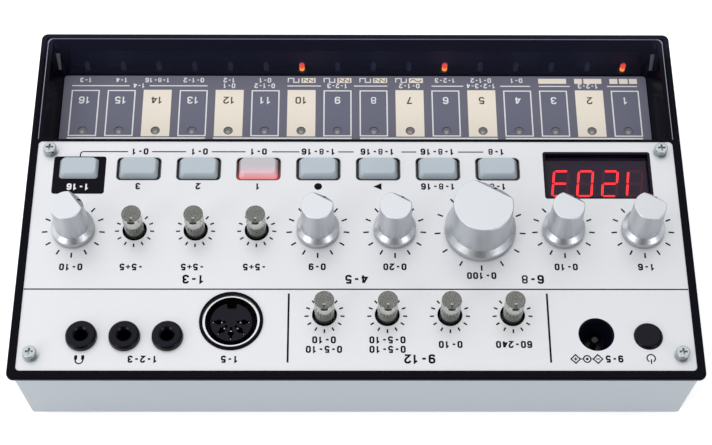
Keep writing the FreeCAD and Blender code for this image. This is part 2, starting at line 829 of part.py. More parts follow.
plate = new_body("panel_plate")
pad(plate, "sheet", plate_low, plate_top, round_centred(
    none, plate_y, plate_half_width * 2, plate_back - plate_front, plate_corner))
pocket(plate, "knob_holes", plate_low, plate_top, *[
    disc(x, knob_row, knob_hole) for _, x in knobs])
pocket(plate, "stem_holes", plate_low, plate_top, *[
    disc(x, y, stem_hole) for _, x, y in stems])
button_hole = pocket(plate, "button_hole", plate_low, plate_top, round_centred(
    button_places[-1], button_row, button_hole_width, button_hole_depth, button_corner))
repeat(plate, "button_holes", button_hole, column_pitch, len(buttons))
pocket(
    plate, "socket_holes", plate_low, plate_top,
    disc(power_x, power_y, power_hole),
    disc(inlet_x, inlet_y, inlet_mouth),
    disc(midi_x, midi_y, midi_radius + midi_gap),
    *[disc(x, jack_y, jack_bezel + hole_gap) for x in jack_places])
pocket(plate, "screw_holes", plate_low, plate_top, *[
    disc(x, y, plate_screw_hole) for x, y in screw_places])
pocket(plate, "display_hole", plate_low, plate_top, round_centred(
    display_x, display_y, display_width, display_depth, display_corner))

screws = new_body("panel_screws")
washer_top = plate_top + washer_thick
head_top = washer_top + panel_head_rise
pad(screws, "shanks", plate_top - panel_screw_reach, plate_top, *[
    disc(x, y, screw_shank) for x, y in screw_places])
pad(screws, "washers", plate_top, washer_top, *[
    disc(x, y, washer_radius) for x, y in screw_places])
pad(screws, "heads", washer_top, head_top, *[
    disc(x, y, panel_head_radius) for x, y in screw_places])
fillet(screws, "domes", head_round, at_level(head_top))
pocket(screws, "cross_one", head_top - cross_deep, head_top, *[
    centred(x, y, cross_length, cross_width) for x, y in screw_places])
pocket(screws, "cross_two", head_top - cross_deep, head_top, *[
    centred(x, y, cross_width, cross_length) for x, y in screw_places])

# Display

surround = new_body("display_frame")
window_top = plate_top - display_sink
window_low = window_top - window_thick
surround_width = display_width - display_gap * 2
surround_depth = display_depth - display_gap * 2
pad(surround, "skirt", window_low, plate_top - display_lip, round_centred(
    display_x, display_y, surround_width, surround_depth, display_corner))
pad(surround, "flange", plate_low - display_flange_thick, plate_low, centred(
    display_x, display_y, flange_half_width * 2, flange_half_depth * 2))
pocket(surround, "opening", window_low, plate_top - display_lip, centred(
    display_x, display_y, surround_width - display_wall * 2, surround_depth - display_wall * 2))

window = new_body("display_window")
pad(window, "pane", window_low, window_top, centred(
    display_x, display_y, surround_width - (display_wall + display_gap) * 2,
    surround_depth - (display_wall + display_gap) * 2))

module = new_body("display_module")
pad(module, "block", board_top, board_top + module_rise, centred(
    display_x, module_y, module_width, module_depth))

# Touch strip

first_key = -(key_pitch * (key_count / 2 - 0.5))

strip = new_body("touch_strip")
pad(strip, "sheet", touch_board_top, strip_top, round_box(
    strip_gap - recess_low_half_width, recess_low_half_width - strip_gap,
    recess_low_front + strip_gap, recess_back - strip_gap, recess_corner))
light_hole = pocket(strip, "light_hole", touch_board_top, strip_top, disc(
    first_key, key_light_y, key_light_hole))
repeat(strip, "light_holes", light_hole, key_pitch, key_count)

key_leds = new_body("key_leds")
key_led = pad(key_leds, "first", touch_board_top, key_light_top, disc(
    first_key, key_light_y, key_light_radius))
repeat(key_leds, "row", key_led, key_pitch, key_count)

step_leds = new_body("step_leds")
pad(step_leds, "first", touch_board_top, step_light_top, *[
    disc(first_key + key_pitch * number, step_light_y, step_light_radius)
    for number in range(key_count)])
fillet(step_leds, "dome", step_light_radius - light_base, at_level(step_light_top))

# Boards

main_board = new_body("main_board")
pad(main_board, "sheet", board_low, board_top, box(
    -board_half_width, board_half_width, board_front, board_back))
pocket(main_board, "screw_holes", board_low, board_top, *[
    disc(x, y, screw_shank + head_gap) for x, y in screw_places])

touch_board = new_body("touch_board")
pad(touch_board, "sheet", touch_board_low, touch_board_top, box(
    -touch_board_half_width, touch_board_half_width, touch_board_front, touch_board_back))

# Knobs and their shafts

knob_low = plate_top + knob_gap


def make_knob(label, x, rest, flange, edge, collar, low_radius, top_radius, high, chord):
    """A metal knob with a wide foot and a slanted facet, turned to its rest place."""
    knob = new_body(f"{label}_knob", x, knob_row, -rest)
    edge_top = knob_low + edge
    turned(
        knob, "form",
        (none, knob_low),
        (flange, knob_low),
        (flange, edge_top),
        (low_radius, edge_top + collar),
        (top_radius, high),
        (none, high))
    fillet(knob, "foot_round", knob_round, at_level(edge_top))
    fillet(knob, "top_round", knob_round, at_level(high))
    pocket(
        knob, "facet", -flange, flange, outline(
            (chord, high + knob_round),
            (chord, high),
            (chord + facet_reach, high - facet_reach * facet_slope),
            (chord + facet_reach, high + knob_round)), plane="YZ_Plane")
    pocket(knob, "bore", knob_low, shaft_top, disc(none, none, shaft_radius))
    shaft = new_body(f"{label}_shaft", x, knob_row, -rest)
    pad(shaft, "rod", shaft_low, shaft_top, disc(none, none, shaft_radius))
    pocket(shaft, "flat", shaft_flat_low, shaft_top, box(
        -shaft_radius, shaft_radius, shaft_flat, shaft_radius))


for label, x in knobs:
    if label == "cutoff":
        make_knob(label, x, -150, cutoff_flange, cutoff_edge, cutoff_collar, cutoff_low_radius,
                  cutoff_top_radius, cutoff_top, cutoff_chord)
    else:
        rest = -127 if label == "volume" else -150
        make_knob(label, x, rest, knob_flange, knob_edge, knob_collar, knob_low_radius,
                  knob_top_radius, knob_top, knob_chord)

for label, x, y in stems:
    stem = new_body(f"{label}_stem", x, y)
    pad(stem, "spindle", spindle_low, stem_low, disc(none, none, spindle_radius))
    pad(stem, "rod", stem_low, stem_top, disc(none, none, stem_radius))
    fillet(stem, "top_round", stem_round, at_level(stem_top))
    pocket(stem, "mark", stem_top - stem_slot_deep, stem_top, box(
        -stem_slot_width / 2, stem_slot_width / 2, stem_slot_from, stem_radius))

# Buttons

cap_top = plate_top + cap_rise
cap_flange_top = cap_flange_low + cap_flange_thick
for label, x in zip(buttons, button_places):
    cap = new_body(f"{label}_button", x, button_row)
    pad(cap, "nub", plunger_top + nub_gap, cap_flange_low, disc(none, none, nub_radius))
    pad(cap, "flange", cap_flange_low, cap_flange_top, centred(
        none, none, cap_width + cap_flange * 2, cap_depth + cap_flange * 2))
    pad(cap, "sides", cap_flange_top, plate_top, round_centred(
        none, none, cap_width, cap_depth, cap_corner))
    crown = cap.newObject("PartDesign::AdditiveLoft", f"{label}_button_crown")
    crown.Profile = sketch_on(cap, "crown_high", "XY_Plane", cap_top, [round_box(
        -cap_top_width / 2, cap_top_width / 2, cap_top_front, cap_top_back,
        cap_top_corner)])
    crown.Sections = [sketch_on(cap, "crown_low", "XY_Plane", plate_top, [round_centred(
        none, none, cap_width, cap_depth, cap_corner)])]
    finish(cap, crown)
    fillet(cap, "top_round", cap_round, at_level(cap_top))

power = new_body("power_button", power_x, power_y)
pad(power, "nub", power_switch_top + nub_gap, cap_flange_low - cap_flange_thick, disc(
    none, none, nub_radius))
pad(power, "flange", cap_flange_low - cap_flange_thick, cap_flange_low, disc(
    none, none, power_flange))
power_top = plate_top + power_cap_rise
pad(power, "cap", cap_flange_low, power_top, disc(none, none, power_cap_radius))
fillet(power, "top_round", power_cap_round, at_level(power_top))

# Sockets

inlet = new_body("power_jack", inlet_x, inlet_y)
pad(inlet, "block", board_top, plate_low, centred(none, none, inlet_width, inlet_depth))
pocket(inlet, "bore", inlet_floor, plate_low, disc(none, none, inlet_bore))
turned(
    inlet, "funnel",
    (none, plate_low - inlet_funnel),
    (inlet_bore, plate_low - inlet_funnel),
    (inlet_mouth - inlet_wall, plate_low),
    (none, plate_low), kind="Groove")
pin = new_body("power_jack_pin", inlet_x, inlet_y)
pad(pin, "rod", board_top, inlet_pin_top, disc(none, none, inlet_pin))
fillet(pin, "tip", knob_round, at_level(inlet_pin_top))
pocket(inlet, "pin_hole", board_top, inlet_floor, disc(none, none, inlet_pin))

housing = new_body("midi_housing")
pad(housing, "block", board_top, plate_low, box(
    midi_x - midi_width / 2, midi_x + midi_width / 2, midi_front, midi_back))
midi_top = plate_top + midi_rise
pad(housing, "collar", plate_low, midi_top, disc(midi_x, midi_y, midi_radius))
fillet(housing, "collar_round", midi_round, at_level(midi_top))
pocket(housing, "well", midi_floor, midi_top, disc(midi_x, midi_y, shield_outer))
shield = new_body("midi_shield")
pad(
    shield, "tube", midi_floor, plate_top - shield_sink,
    disc(midi_x, midi_y, shield_outer), disc(midi_x, midi_y, shield_inner))
insert = new_body("midi_insert", midi_x, midi_y)
insert_top = plate_top - insert_sink
pad(insert, "core", midi_floor, insert_top, disc(none, none, insert_radius))
pocket(insert, "notch", midi_floor, insert_top, box(
    -notch_width / 2, notch_width / 2, -insert_radius, notch_depth - insert_radius))
diagonal = math.sqrt(0.5)
contact_ways = ((1, 0), (diagonal, diagonal), (0, 1), (-diagonal, diagonal), (-1, 0))


def slit(way_x, way_y):
    """One narrow contact slot that runs outwards from the middle."""
    half = slot_width / 2
    return outline(
        (slot_near * way_x + half * way_y, slot_near * way_y - half * way_x),
        (slot_far * way_x + half * way_y, slot_far * way_y - half * way_x),
        (slot_far * way_x - half * way_y, slot_far * way_y + half * way_x),
        (slot_near * way_x - half * way_y, slot_near * way_y + half * way_x))


pocket(insert, "slits", insert_top - slot_deep, insert_top, *[
    slit(*way) for way in contact_ways])
pocket(insert, "contact_holes", insert_top - slot_deep, insert_top, *[
    disc(slot_bulge_place * way_x, slot_bulge_place * way_y, slot_bulge)
    for way_x, way_y in contact_ways])

jacks = new_body("mini_jacks")
pad(jacks, "blocks", board_top, jack_block_top, *[
    centred(x, jack_y, jack_width, jack_depth) for x in jack_places])
jack_top = plate_top + jack_rise
pad(jacks, "bezels", jack_block_top, jack_top, *[
    disc(x, jack_y, jack_bezel) for x in jack_places])
fillet(jacks, "domes", jack_round, at_level(jack_top))
pocket(jacks, "bores", jack_floor, jack_top, *[
    disc(x, jack_y, jack_bore) for x in jack_places])
jack_mouth_low = jack_top - jack_mouth_deep
for number, x in enumerate(jack_places):
    tapered(
        jacks, f"mouth_{number + 1}", "Pocket", jack_mouth_low, jack_top,
        disc(x, jack_y, jack_bore), jack_mouth - jack_bore)

# Pieces on the main board

pots = new_body("knob_pots")
pad(pots, "cases", board_top, pot_top, *[
    centred(x, knob_row, pot_width, pot_depth) for _, x in knobs])
pad(pots, "bushings", pot_top, bushing_top, *[
    disc(x, knob_row, bushing_radius) for _, x in knobs])
pocket(pots, "bores", shaft_low, bushing_top, *[
    disc(x, knob_row, shaft_radius + turning_gap) for _, x in knobs])

trimmers = new_body("trimmer_pots")
pad(trimmers, "cases", board_top, trimmer_top, *[
    centred(x, y, trimmer_width, trimmer_width) for _, x, y in stems])
pocket(trimmers, "bores", spindle_low, trimmer_top, *[
    disc(x, y, spindle_radius + turning_gap) for _, x, y in stems])

switches = new_body("button_switches")
pad(switches, "cases", board_top, switch_top, *[
    centred(x, button_row, switch_width, switch_width) for x in button_places])
pad(switches, "plungers", switch_top, plunger_top, *[
    disc(x, button_row, plunger_radius) for x in button_places])

power_switch = new_body("power_switch")
pad(power_switch, "case", board_top, power_switch_top, centred(
    power_x, power_y, power_switch_width, power_switch_width))

parts = new_body("board_parts")
pad(parts, "chips", board_top, board_top + chip_rise, *[
    centred(chip_x + chip_pitch * number, chip_y, chip_width, chip_width)
    for number in range(4)])
pad(parts, "cans", board_top, board_top + can_rise, *[
    disc(can_x + can_pitch * number, can_y, can_radius) for number in range(3)])

# Speaker

frame = new_body("speaker_frame", speaker_x, speaker_y)
magnet_low = floor_top + magnet_rise
magnet_top = floor_top + speaker_deep
basket_floor = floor_top + basket_rise
rim_plate_top = floor_top + speaker_rim_thick
turned(
    frame, "basket",
    (speaker_radius - speaker_rim, floor_top),
    (speaker_radius, floor_top),
    (speaker_radius, rim_plate_top),
    (speaker_radius - speaker_ledge, rim_plate_top),
    (magnet_radius, magnet_low),
    (magnet_radius, magnet_top),
    (none, magnet_top),
    (none, basket_floor),
    (magnet_radius - basket_thick, basket_floor))
cone = new_body("speaker_cone", speaker_x, speaker_y)
cone_low = floor_top + cone_lift
neck_low = cone_low + cone_rise
dome_low = cone_low + cone_dome
turned(
    cone, "paper",
    (cone_radius, cone_low),
    (cone_radius, cone_low + paper_thick),
    (cone_neck, neck_low + paper_thick),
    (none, dome_low + paper_thick),
    (none, dome_low),
    (cone_neck, neck_low))

# Batteries

cells = new_body("battery_cells")
cell_rows = (cell_row_front, cell_row_back)
for number, start in enumerate((cell_length * -1.5, cell_length * -0.5, cell_length * 0.5)):
    pad(cells, f"column_{number + 1}", start, start + cell_length, *[
        disc(y, cell_level, cell_radius) for y in cell_rows], plane="YZ_Plane")
contacts = new_body("battery_contacts")
contact_out = bay_half_width - contact_thick
for side, low, high in (
        ("left", -bay_half_width, cell_length * -1.5),
        ("right", cell_length * 1.5, bay_half_width)):
    inner_low = low if side == "left" else contact_out
    inner_high = -contact_out if side == "left" else high
    pad(contacts, f"{side}_plates", inner_low, inner_high, *[
        centred(y, cell_level, contact_plate, contact_plate) for y in cell_rows],
        plane="YZ_Plane")
    pad(contacts, f"{side}_springs", low, high, *[
        disc(y, cell_level, contact_stud) for y in cell_rows], plane="YZ_Plane")

cover = new_body("battery_cover")
pad(cover, "sheet", foot_rise, floor_top - cover_gap, box(
    cover_gap - cover_half_width, cover_half_width - cover_gap,
    cover_front + cover_gap, cover_back - cover_gap))
pad(cover, "tabs", tab_low, tab_low + tab_thick, *[
    box(-cover_half_width - tab_reach, cover_half_width + tab_reach, start, start + tab_length)
    for start in tab_starts])

# Feet and case screws

feet = new_body("rubber_feet")
pad(feet, "discs", none, foot_rise, *[
    disc(x, y, foot_radius) for x in (-foot_out, foot_out) for y in (foot_front, foot_back)])
fillet(feet, "round", knob_round, at_level(none))

long_screws = new_body("case_screws")
case_head_low = head_seat - case_head_thick
case_cross_top = case_head_low + case_cross_deep
pad(long_screws, "heads", case_head_low, head_seat, *[
    disc(x, y, case_head_radius) for x, y in screw_places])
pad(long_screws, "shanks", head_seat, case_screw_top, *[
    disc(x, y, screw_shank) for x, y in screw_places])
pocket(long_screws, "cross_one", case_head_low, case_cross_top, *[
    centred(x, y, cross_length, cross_width) for x, y in screw_places])
pocket(long_screws, "cross_two", case_head_low, case_cross_top, *[
    centred(x, y, cross_width, cross_length) for x, y in screw_places])

doc.recompute()
os.makedirs("parts", exist_ok=True)
for item in doc.Objects:
    if "Invalid" in item.State or "Error" in item.State:
        raise ValueError(f"{item.Label} is {item.State}")
for body in exported:
    if body.Shape.isNull() or not body.Shape.isValid():
        raise ValueError(f"{body.Label} has no valid shape")
    body.Shape.exportStep(f"parts/{body.Label}.step")
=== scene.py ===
import math
import bmesh
import bpy
from mathutils import Matrix, Vector


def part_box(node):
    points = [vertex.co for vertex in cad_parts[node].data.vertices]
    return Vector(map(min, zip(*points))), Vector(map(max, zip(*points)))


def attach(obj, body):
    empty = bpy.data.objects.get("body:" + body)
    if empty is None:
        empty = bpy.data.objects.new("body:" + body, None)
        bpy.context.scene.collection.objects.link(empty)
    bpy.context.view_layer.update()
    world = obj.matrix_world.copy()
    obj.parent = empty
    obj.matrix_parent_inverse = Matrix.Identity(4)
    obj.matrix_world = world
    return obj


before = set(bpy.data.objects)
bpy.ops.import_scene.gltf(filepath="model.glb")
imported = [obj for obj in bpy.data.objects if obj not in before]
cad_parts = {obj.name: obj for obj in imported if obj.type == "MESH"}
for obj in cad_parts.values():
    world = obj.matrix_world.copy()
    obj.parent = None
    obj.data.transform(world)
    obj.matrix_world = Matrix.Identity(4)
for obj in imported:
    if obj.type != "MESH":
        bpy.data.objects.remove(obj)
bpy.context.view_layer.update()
MM = 0.001


# Camera
# It stands behind the synthesizer and looks down on it from about 61 degrees,
# so the sockets are nearest and the touch strip is furthest away.

case_top = 31.3
camera_place = Vector((3.705, 237.459, case_top + 418.292)) * MM
elevation = math.radians(61.317)
yaw = math.radians(-0.909)
roll = math.radians(0.851)
photo_width = 712
focal_pixels = 1645.97
film_width = 36
forward = Vector((math.sin(yaw) * math.cos(elevation), -math.cos(yaw) * math.cos(elevation),
                  -math.sin(elevation)))
level_right = forward.cross(Vector((0, 0, 1))).normalized()
level_up = level_right.cross(forward)
right = math.cos(roll) * level_right + math.sin(roll) * level_up
up = -math.sin(roll) * level_right + math.cos(roll) * level_up
camera_data = bpy.data.cameras.new("photo_camera")
camera_data.sensor_width = film_width
camera_data.lens = focal_pixels / photo_width * film_width
camera = bpy.data.objects.new("photo_camera", camera_data)
facing = Matrix((right, up, -forward)).transposed().to_4x4()
camera.matrix_world = Matrix.Translation(camera_place) @ facing
bpy.context.collection.objects.link(camera)
bpy.context.scene.camera = camera


# Floor and light
# A white light table in a white room, with one large soft lamp overhead, a
# smaller one on each side, and a black screen behind the camera, which keeps
# the glossy faces that look that way dark.

def new_material(name):
    """An empty node material and its shader."""
    material = bpy.data.materials.new(name)
    material.use_nodes = True
    return material, material.node_tree.nodes["Principled BSDF"]


def stage_plane(name, corners, colour, roughness, glow):
    """A flat piece of the studio, with its own plain material."""
    mesh = bpy.data.meshes.new(name)
    mesh.from_pydata(corners, [], [(0, 1, 2, 3)])
    plane = bpy.data.objects.new(name, mesh)
    bpy.context.collection.objects.link(plane)
    material, shader = new_material(f"{name}_paint")
    shader.inputs["Base Color"].default_value = (*colour, 1)
    shader.inputs["Roughness"].default_value = roughness
    shader.inputs["Emission Color"].default_value = (1, 1, 1, 1)
    shader.inputs["Emission Strength"].default_value = glow
    mesh.materials.append(material)
    return plane


table_half = 3
table_corners = [(sx * table_half, sy * table_half, 0)
                 for sx, sy in ((-1, -1), (1, -1), (1, 1), (-1, 1))]
stage_plane("table_top", table_corners, (0.93, 0.93, 0.93), roughness=0.7, glow=0.4)
screen_half, screen_away, screen_foot, screen_head = 0.3, 0.9, 0.02, 0.9
screen_corners = [(-screen_half, screen_away, screen_foot), (screen_half, screen_away, screen_foot),
                  (screen_half, screen_away, screen_head), (-screen_half, screen_away, screen_head)]
screen = stage_plane("black_screen", screen_corners, (0.01, 0.01, 0.01), roughness=1.0, glow=0.0)
screen.visible_camera = False
screen.visible_diffuse = False
screen.visible_shadow = False

world = bpy.data.worlds.new("white_room")
world.use_nodes = True
world.node_tree.nodes["Background"].inputs["Color"].default_value = (0.97, 0.985, 1, 1)
world.node_tree.nodes["Background"].inputs["Strength"].default_value = 0.53
bpy.context.scene.world = world
bpy.context.scene.view_settings.view_transform = "Standard"


def soft_lamp(name, place, size, power):
    """A square lamp that faces the middle of the table."""
    lamp = bpy.data.lights.new(name, "AREA")
    lamp.size = size
    lamp.energy = power
    stand = bpy.data.objects.new(name, lamp)
    stand.location = place
    stand.rotation_euler = (-Vector(place)).to_track_quat("-Z", "Y").to_euler()
    bpy.context.collection.objects.link(stand)


soft_lamp("overhead_lamp", (0.72, -0.44, 1.05), size=3.0, power=25.5)
soft_lamp("left_lamp", (0.8, 0.7, 0.45), size=0.45, power=2.6)
soft_lamp("right_lamp", (-0.8, 0.7, 0.4), size=0.4, power=1.75)


# Lower case and battery cover
# A shallow tray moulded in silver-grey plastic with a fine spark texture. It
# carries the boards; the cover over the cells is moulded in the same plastic.

def math_node(tree, operation, *values):
    """The result of a math node whose inputs are sockets or plain numbers."""
    node = tree.nodes.new("ShaderNodeMath")
    node.operation = operation
    for slot, value in zip(node.inputs, values):
        if isinstance(value, bpy.types.NodeSocket):
            tree.links.new(value, slot)
        else:
            slot.default_value = value
    return node.outputs[0]


def scaled_colour(tree, colour, factor):
    """A colour made lighter or darker by a number, both of them sockets."""
    node = tree.nodes.new("ShaderNodeVectorMath")
    node.operation = "SCALE"
    tree.links.new(colour, node.inputs[0])
    tree.links.new(factor, node.inputs["Scale"])
    return node.outputs[0]


def grain_group():
    """Mottled colour, mottled gloss and a fine skin, all from noise in the piece's own space."""
    group = bpy.data.node_groups.new("moulded_skin", "ShaderNodeTree")
    inputs = (("Colour", "NodeSocketColor"), ("Mottle", "NodeSocketFloat"),
              ("Mottle Scale", "NodeSocketFloat"), ("Gloss", "NodeSocketFloat"),
              ("Gloss Change", "NodeSocketFloat"), ("Skin Scale", "NodeSocketVector"))
    outputs = (("Colour", "NodeSocketColor"), ("Roughness", "NodeSocketFloat"),
               ("Height", "NodeSocketFloat"))
    for way, sockets in (("INPUT", inputs), ("OUTPUT", outputs)):
        for name, kind in sockets:
            group.interface.new_socket(name=name, in_out=way, socket_type=kind)
    nodes, links = group.nodes, group.links
    start = nodes.new("NodeGroupInput")
    end = nodes.new("NodeGroupOutput")
    place = nodes.new("ShaderNodeTexCoord")
    broad = nodes.new("ShaderNodeTexNoise")
    broad.inputs["Detail"].default_value = 4
    links.new(place.outputs["Object"], broad.inputs["Vector"])
    links.new(start.outputs["Mottle Scale"], broad.inputs["Scale"])
    spread = nodes.new("ShaderNodeVectorMath")
    spread.operation = "MULTIPLY"
    links.new(place.outputs["Object"], spread.inputs[0])
    links.new(start.outputs["Skin Scale"], spread.inputs[1])
    fine = nodes.new("ShaderNodeTexNoise")
    fine.inputs["Detail"].default_value = 2
    fine.inputs["Scale"].default_value = 1
    links.new(spread.outputs[0], fine.inputs["Vector"])
    centred = math_node(group, "SUBTRACT", broad.outputs["Fac"], 0.5)
    shade = math_node(group, "MULTIPLY_ADD", centred, start.outputs["Mottle"], 1)
    gloss = math_node(group, "MULTIPLY_ADD", centred, start.outputs["Gloss Change"],
                      start.outputs["Gloss"])
    links.new(scaled_colour(group, start.outputs["Colour"], shade), end.inputs["Colour"])
    links.new(gloss, end.inputs["Roughness"])
    links.new(fine.outputs["Fac"], end.inputs["Height"])
    return group


moulded_skin = grain_group()


def moulded(name, colour, gloss, mottle=0.06, mottle_scale=60, gloss_change=0.1,
            skin_scale=9000, skin_depth=0.02, metallic=0.0, coat=0.0, shine=0.5, upright=1.0):
    """A material with the moulded skin's mottled colour and gloss and its fine bumps."""
    material, shader = new_material(name)
    tree = material.node_tree
    skin = tree.nodes.new("ShaderNodeGroup")
    skin.node_tree = moulded_skin
    skin.inputs["Colour"].default_value = (*colour, 1)
    skin.inputs["Mottle"].default_value = mottle
    skin.inputs["Mottle Scale"].default_value = mottle_scale
    skin.inputs["Gloss"].default_value = gloss
    skin.inputs["Gloss Change"].default_value = gloss_change
    skin.inputs["Skin Scale"].default_value = (skin_scale, skin_scale, skin_scale * upright)
    tree.links.new(skin.outputs["Colour"], shader.inputs["Base Color"])
    tree.links.new(skin.outputs["Roughness"], shader.inputs["Roughness"])
    bump = tree.nodes.new("ShaderNodeBump")
    bump.inputs["Strength"].default_value = 1.0
    bump.inputs["Distance"].default_value = skin_depth * MM
    tree.links.new(skin.outputs["Height"], bump.inputs["Height"])
    tree.links.new(bump.outputs["Normal"], shader.inputs["Normal"])
    shader.inputs["Metallic"].default_value = metallic
    shader.inputs["Coat Weight"].default_value = coat
    shader.inputs["Specular IOR Level"].default_value = shine
    return material


def dress(node, material):
    """Gives a CAD node its material."""
    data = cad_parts[node].data
    data.materials.clear()
    data.materials.append(material)


case_grey = moulded("case_grey", (0.34, 0.375, 0.412), 0.42, skin_scale=5000, skin_depth=0.015)
for node in ("bottom_case", "battery_cover"):
    dress(node, case_grey)


# Upper case
# The rim and the sunken tub are one black moulding with a satin skin; a painted reflection
# lightens the tub's front wall. A thin pale line round the recess, just inside the rim's raised
# edge, is a painted highlight where the edge of the rim's step catches the light.

def place_on(tree, axis):
    """Where a point of the piece lies on one axis, in metres."""
    place = tree.nodes.new("ShaderNodeTexCoord")
    apart = tree.nodes.new("ShaderNodeSeparateXYZ")
    tree.links.new(place.outputs["Object"], apart.inputs["Vector"])
    return apart.outputs[axis]


def share_along(tree, axis, first, last, floor=0.0):
    """A number that goes from a floor to one between two places in millimetres."""
    share = tree.nodes.new("ShaderNodeMapRange")
    share.inputs["From Min"].default_value = first * MM
    share.inputs["From Max"].default_value = last * MM
    share.inputs["To Min"].default_value = floor
    tree.links.new(place_on(tree, axis), share.inputs["Value"])
    return share.outputs["Result"]


def blend(tree, share, first, second):
    """A mix of two colours, each of them a socket or plain numbers."""
    mix = tree.nodes.new("ShaderNodeMix")
    mix.data_type = "RGBA"
    tree.links.new(share, mix.inputs["Factor"])
    for slot, colour in (("A", first), ("B", second)):
        if isinstance(colour, bpy.types.NodeSocket):
            tree.links.new(colour, mix.inputs[slot])
        else:
            mix.inputs[slot].default_value = (*colour, 1)
    return mix.outputs["Result"]


case_black = moulded("case_black", (0.0022, 0.0019, 0.0055), 0.24, mottle=0.1, skin_scale=7000,
                     skin_depth=0.003, shine=0.045)
# Painted reflection: the tub's front wall turns lighter towards the front, where it reflects the
# room.
front_wall_painted_sheen = (0.010, 0.010, 0.021)
front_wall_start, front_wall_end = -48, -53
case_tree = case_black.node_tree
case_colour = case_tree.nodes["Principled BSDF"].inputs["Base Color"]
toward_front_sheen = share_along(case_tree, "Y", front_wall_start, front_wall_end)
case_tree.links.new(blend(case_tree, toward_front_sheen, case_colour.links[0].from_socket,
                          front_wall_painted_sheen), case_colour)
dress("top_case", case_black)


def piece(name, bm, material, body):
    """Turns a built mesh into a finished piece on one body."""
    mesh = bpy.data.meshes.new(name)
    bm.to_mesh(mesh)
    bm.free()
    mesh.materials.append(material)
    thing = bpy.data.objects.new(name, mesh)
    bpy.context.collection.objects.link(thing)
    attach(thing, body)


def ribbon(bm, points, width, z):
    """A flat band along a path, in millimetres, with mitred corners."""
    path = [Vector(point) for point in points]
    sharpest = 0.5
    rows = []
    for index, here in enumerate(path):
        before = here - path[index - 1] if index else path[1] - here
        after = path[index + 1] - here if index + 1 < len(path) else before
        before, after = before.normalized(), after.normalized()
        side = Vector((-before.y - after.y, before.x + after.x)).normalized()
        reach = width / 2 / max(sharpest, side.dot(Vector((-before.y, before.x))))
        rows.append([bm.verts.new(((here + side * s * reach) * MM).to_3d() + Vector((0, 0, z)))
                     for s in (1, -1)])
    for a, b in zip(rows, rows[1:]):
        bm.faces.new((a[0], a[1], b[1], b[0]))


def turn_round(x, y, radius, first, last, count=8):
    """Points along a part of a circle, angles from the X axis in degrees."""
    angles = [math.radians(first + (last - first) * k / count) for k in range(count + 1)]
    return [(x + radius * math.cos(a), y + radius * math.sin(a)) for a in angles]


ink_rise = 0.02 * MM
# Painted highlight: a pale line where the edge of the rim's step catches the light.
step_edge_highlight = moulded("step_edge_highlight", (0.27, 0.27, 0.36), 0.35, mottle=0.1, mottle_scale=40,
                    skin_depth=0.003, metallic=0.2)
rim_step = 0.4
line_level = (case_top - rim_step) * MM + ink_rise
line_side, line_front, line_rear, line_corner = 94.6, -56.15, -19.4, 1.7
front_width, side_width = 0.38, 0.2
left_turn = turn_round(line_side - line_corner, line_front + line_corner, line_corner, 0, -90)
right_turn = turn_round(line_corner - line_side, line_front + line_corner, line_corner, -90, -180)
bm = bmesh.new()
ribbon(bm, left_turn + right_turn, front_width, line_level)
ribbon(bm, [(line_side, line_rear), left_turn[0]], side_width, line_level)
ribbon(bm, [right_turn[-1], (-line_side, line_rear)], side_width, line_level)
piece("recess_edge_highlight", bm, step_edge_highlight, "case")


# Front panel
# A stamped sheet of satin silver metal held by four screws. Its lines, scales
# and numbers are printed in black ink, a few hundredths of a millimetre thick.

def shade_below(material, dark, light, floor):
    """Darkens a material's colour below one height: painted shade where gaps, holes and low faces
    lie in shadow.
    """
    tree = material.node_tree
    colour = tree.nodes["Principled BSDF"].inputs["Base Color"]
    share = share_along(tree, "Z", dark, light, floor)
    tree.links.new(scaled_colour(tree, colour.links[0].from_socket, share), colour)


panel_silver = moulded(
    "panel_silver", (0.70, 0.705, 0.73), 0.36, mottle=0.02, mottle_scale=25,
    gloss_change=0.06, skin_scale=12000, skin_depth=0.004, metallic=0.3)
dress("panel_plate", panel_silver)
shade_below(panel_silver, dark=30.8, light=30.98, floor=0.02)
ink_and_shade_black = moulded("ink_and_shade_black", (0.006, 0.005, 0.009), 0.6, skin_depth=0.003, shine=0.05)
ink_white = moulded("ink_white", (0.80, 0.80, 0.82), 0.5, mottle=0.03, mottle_scale=80,
                    skin_depth=0.003, shine=0.3)


def flat_faces(bm, rings, z):
    """Adds each ring of points, in millimetres, as one flat face."""
    for ring in rings:
        bm.faces.new([bm.verts.new((x * MM, y * MM, z)) for x, y in ring])


def bar(x0, x1, y0, y1):
    """A printed rectangle."""
    return [(x0, y0), (x1, y0), (x1, y1), (x0, y1)]


def spot(x, y, radius, count=40):
    """A printed round spot."""
    steps = [2 * math.pi * k / count for k in range(count)]
    return [(x + radius * math.cos(a), y + radius * math.sin(a)) for a in steps]


def rounded_bar(x0, x1, y0, y1, radius):
    """A printed rectangle with round corners."""
    corners = ((x1 - radius, y0 + radius, -90), (x1 - radius, y1 - radius, 0),
               (x0 + radius, y1 - radius, 90), (x0 + radius, y0 + radius, 180))
    points = []
    for x, y, start in corners:
        points += turn_round(x, y, radius, start, start + 90)
    return points


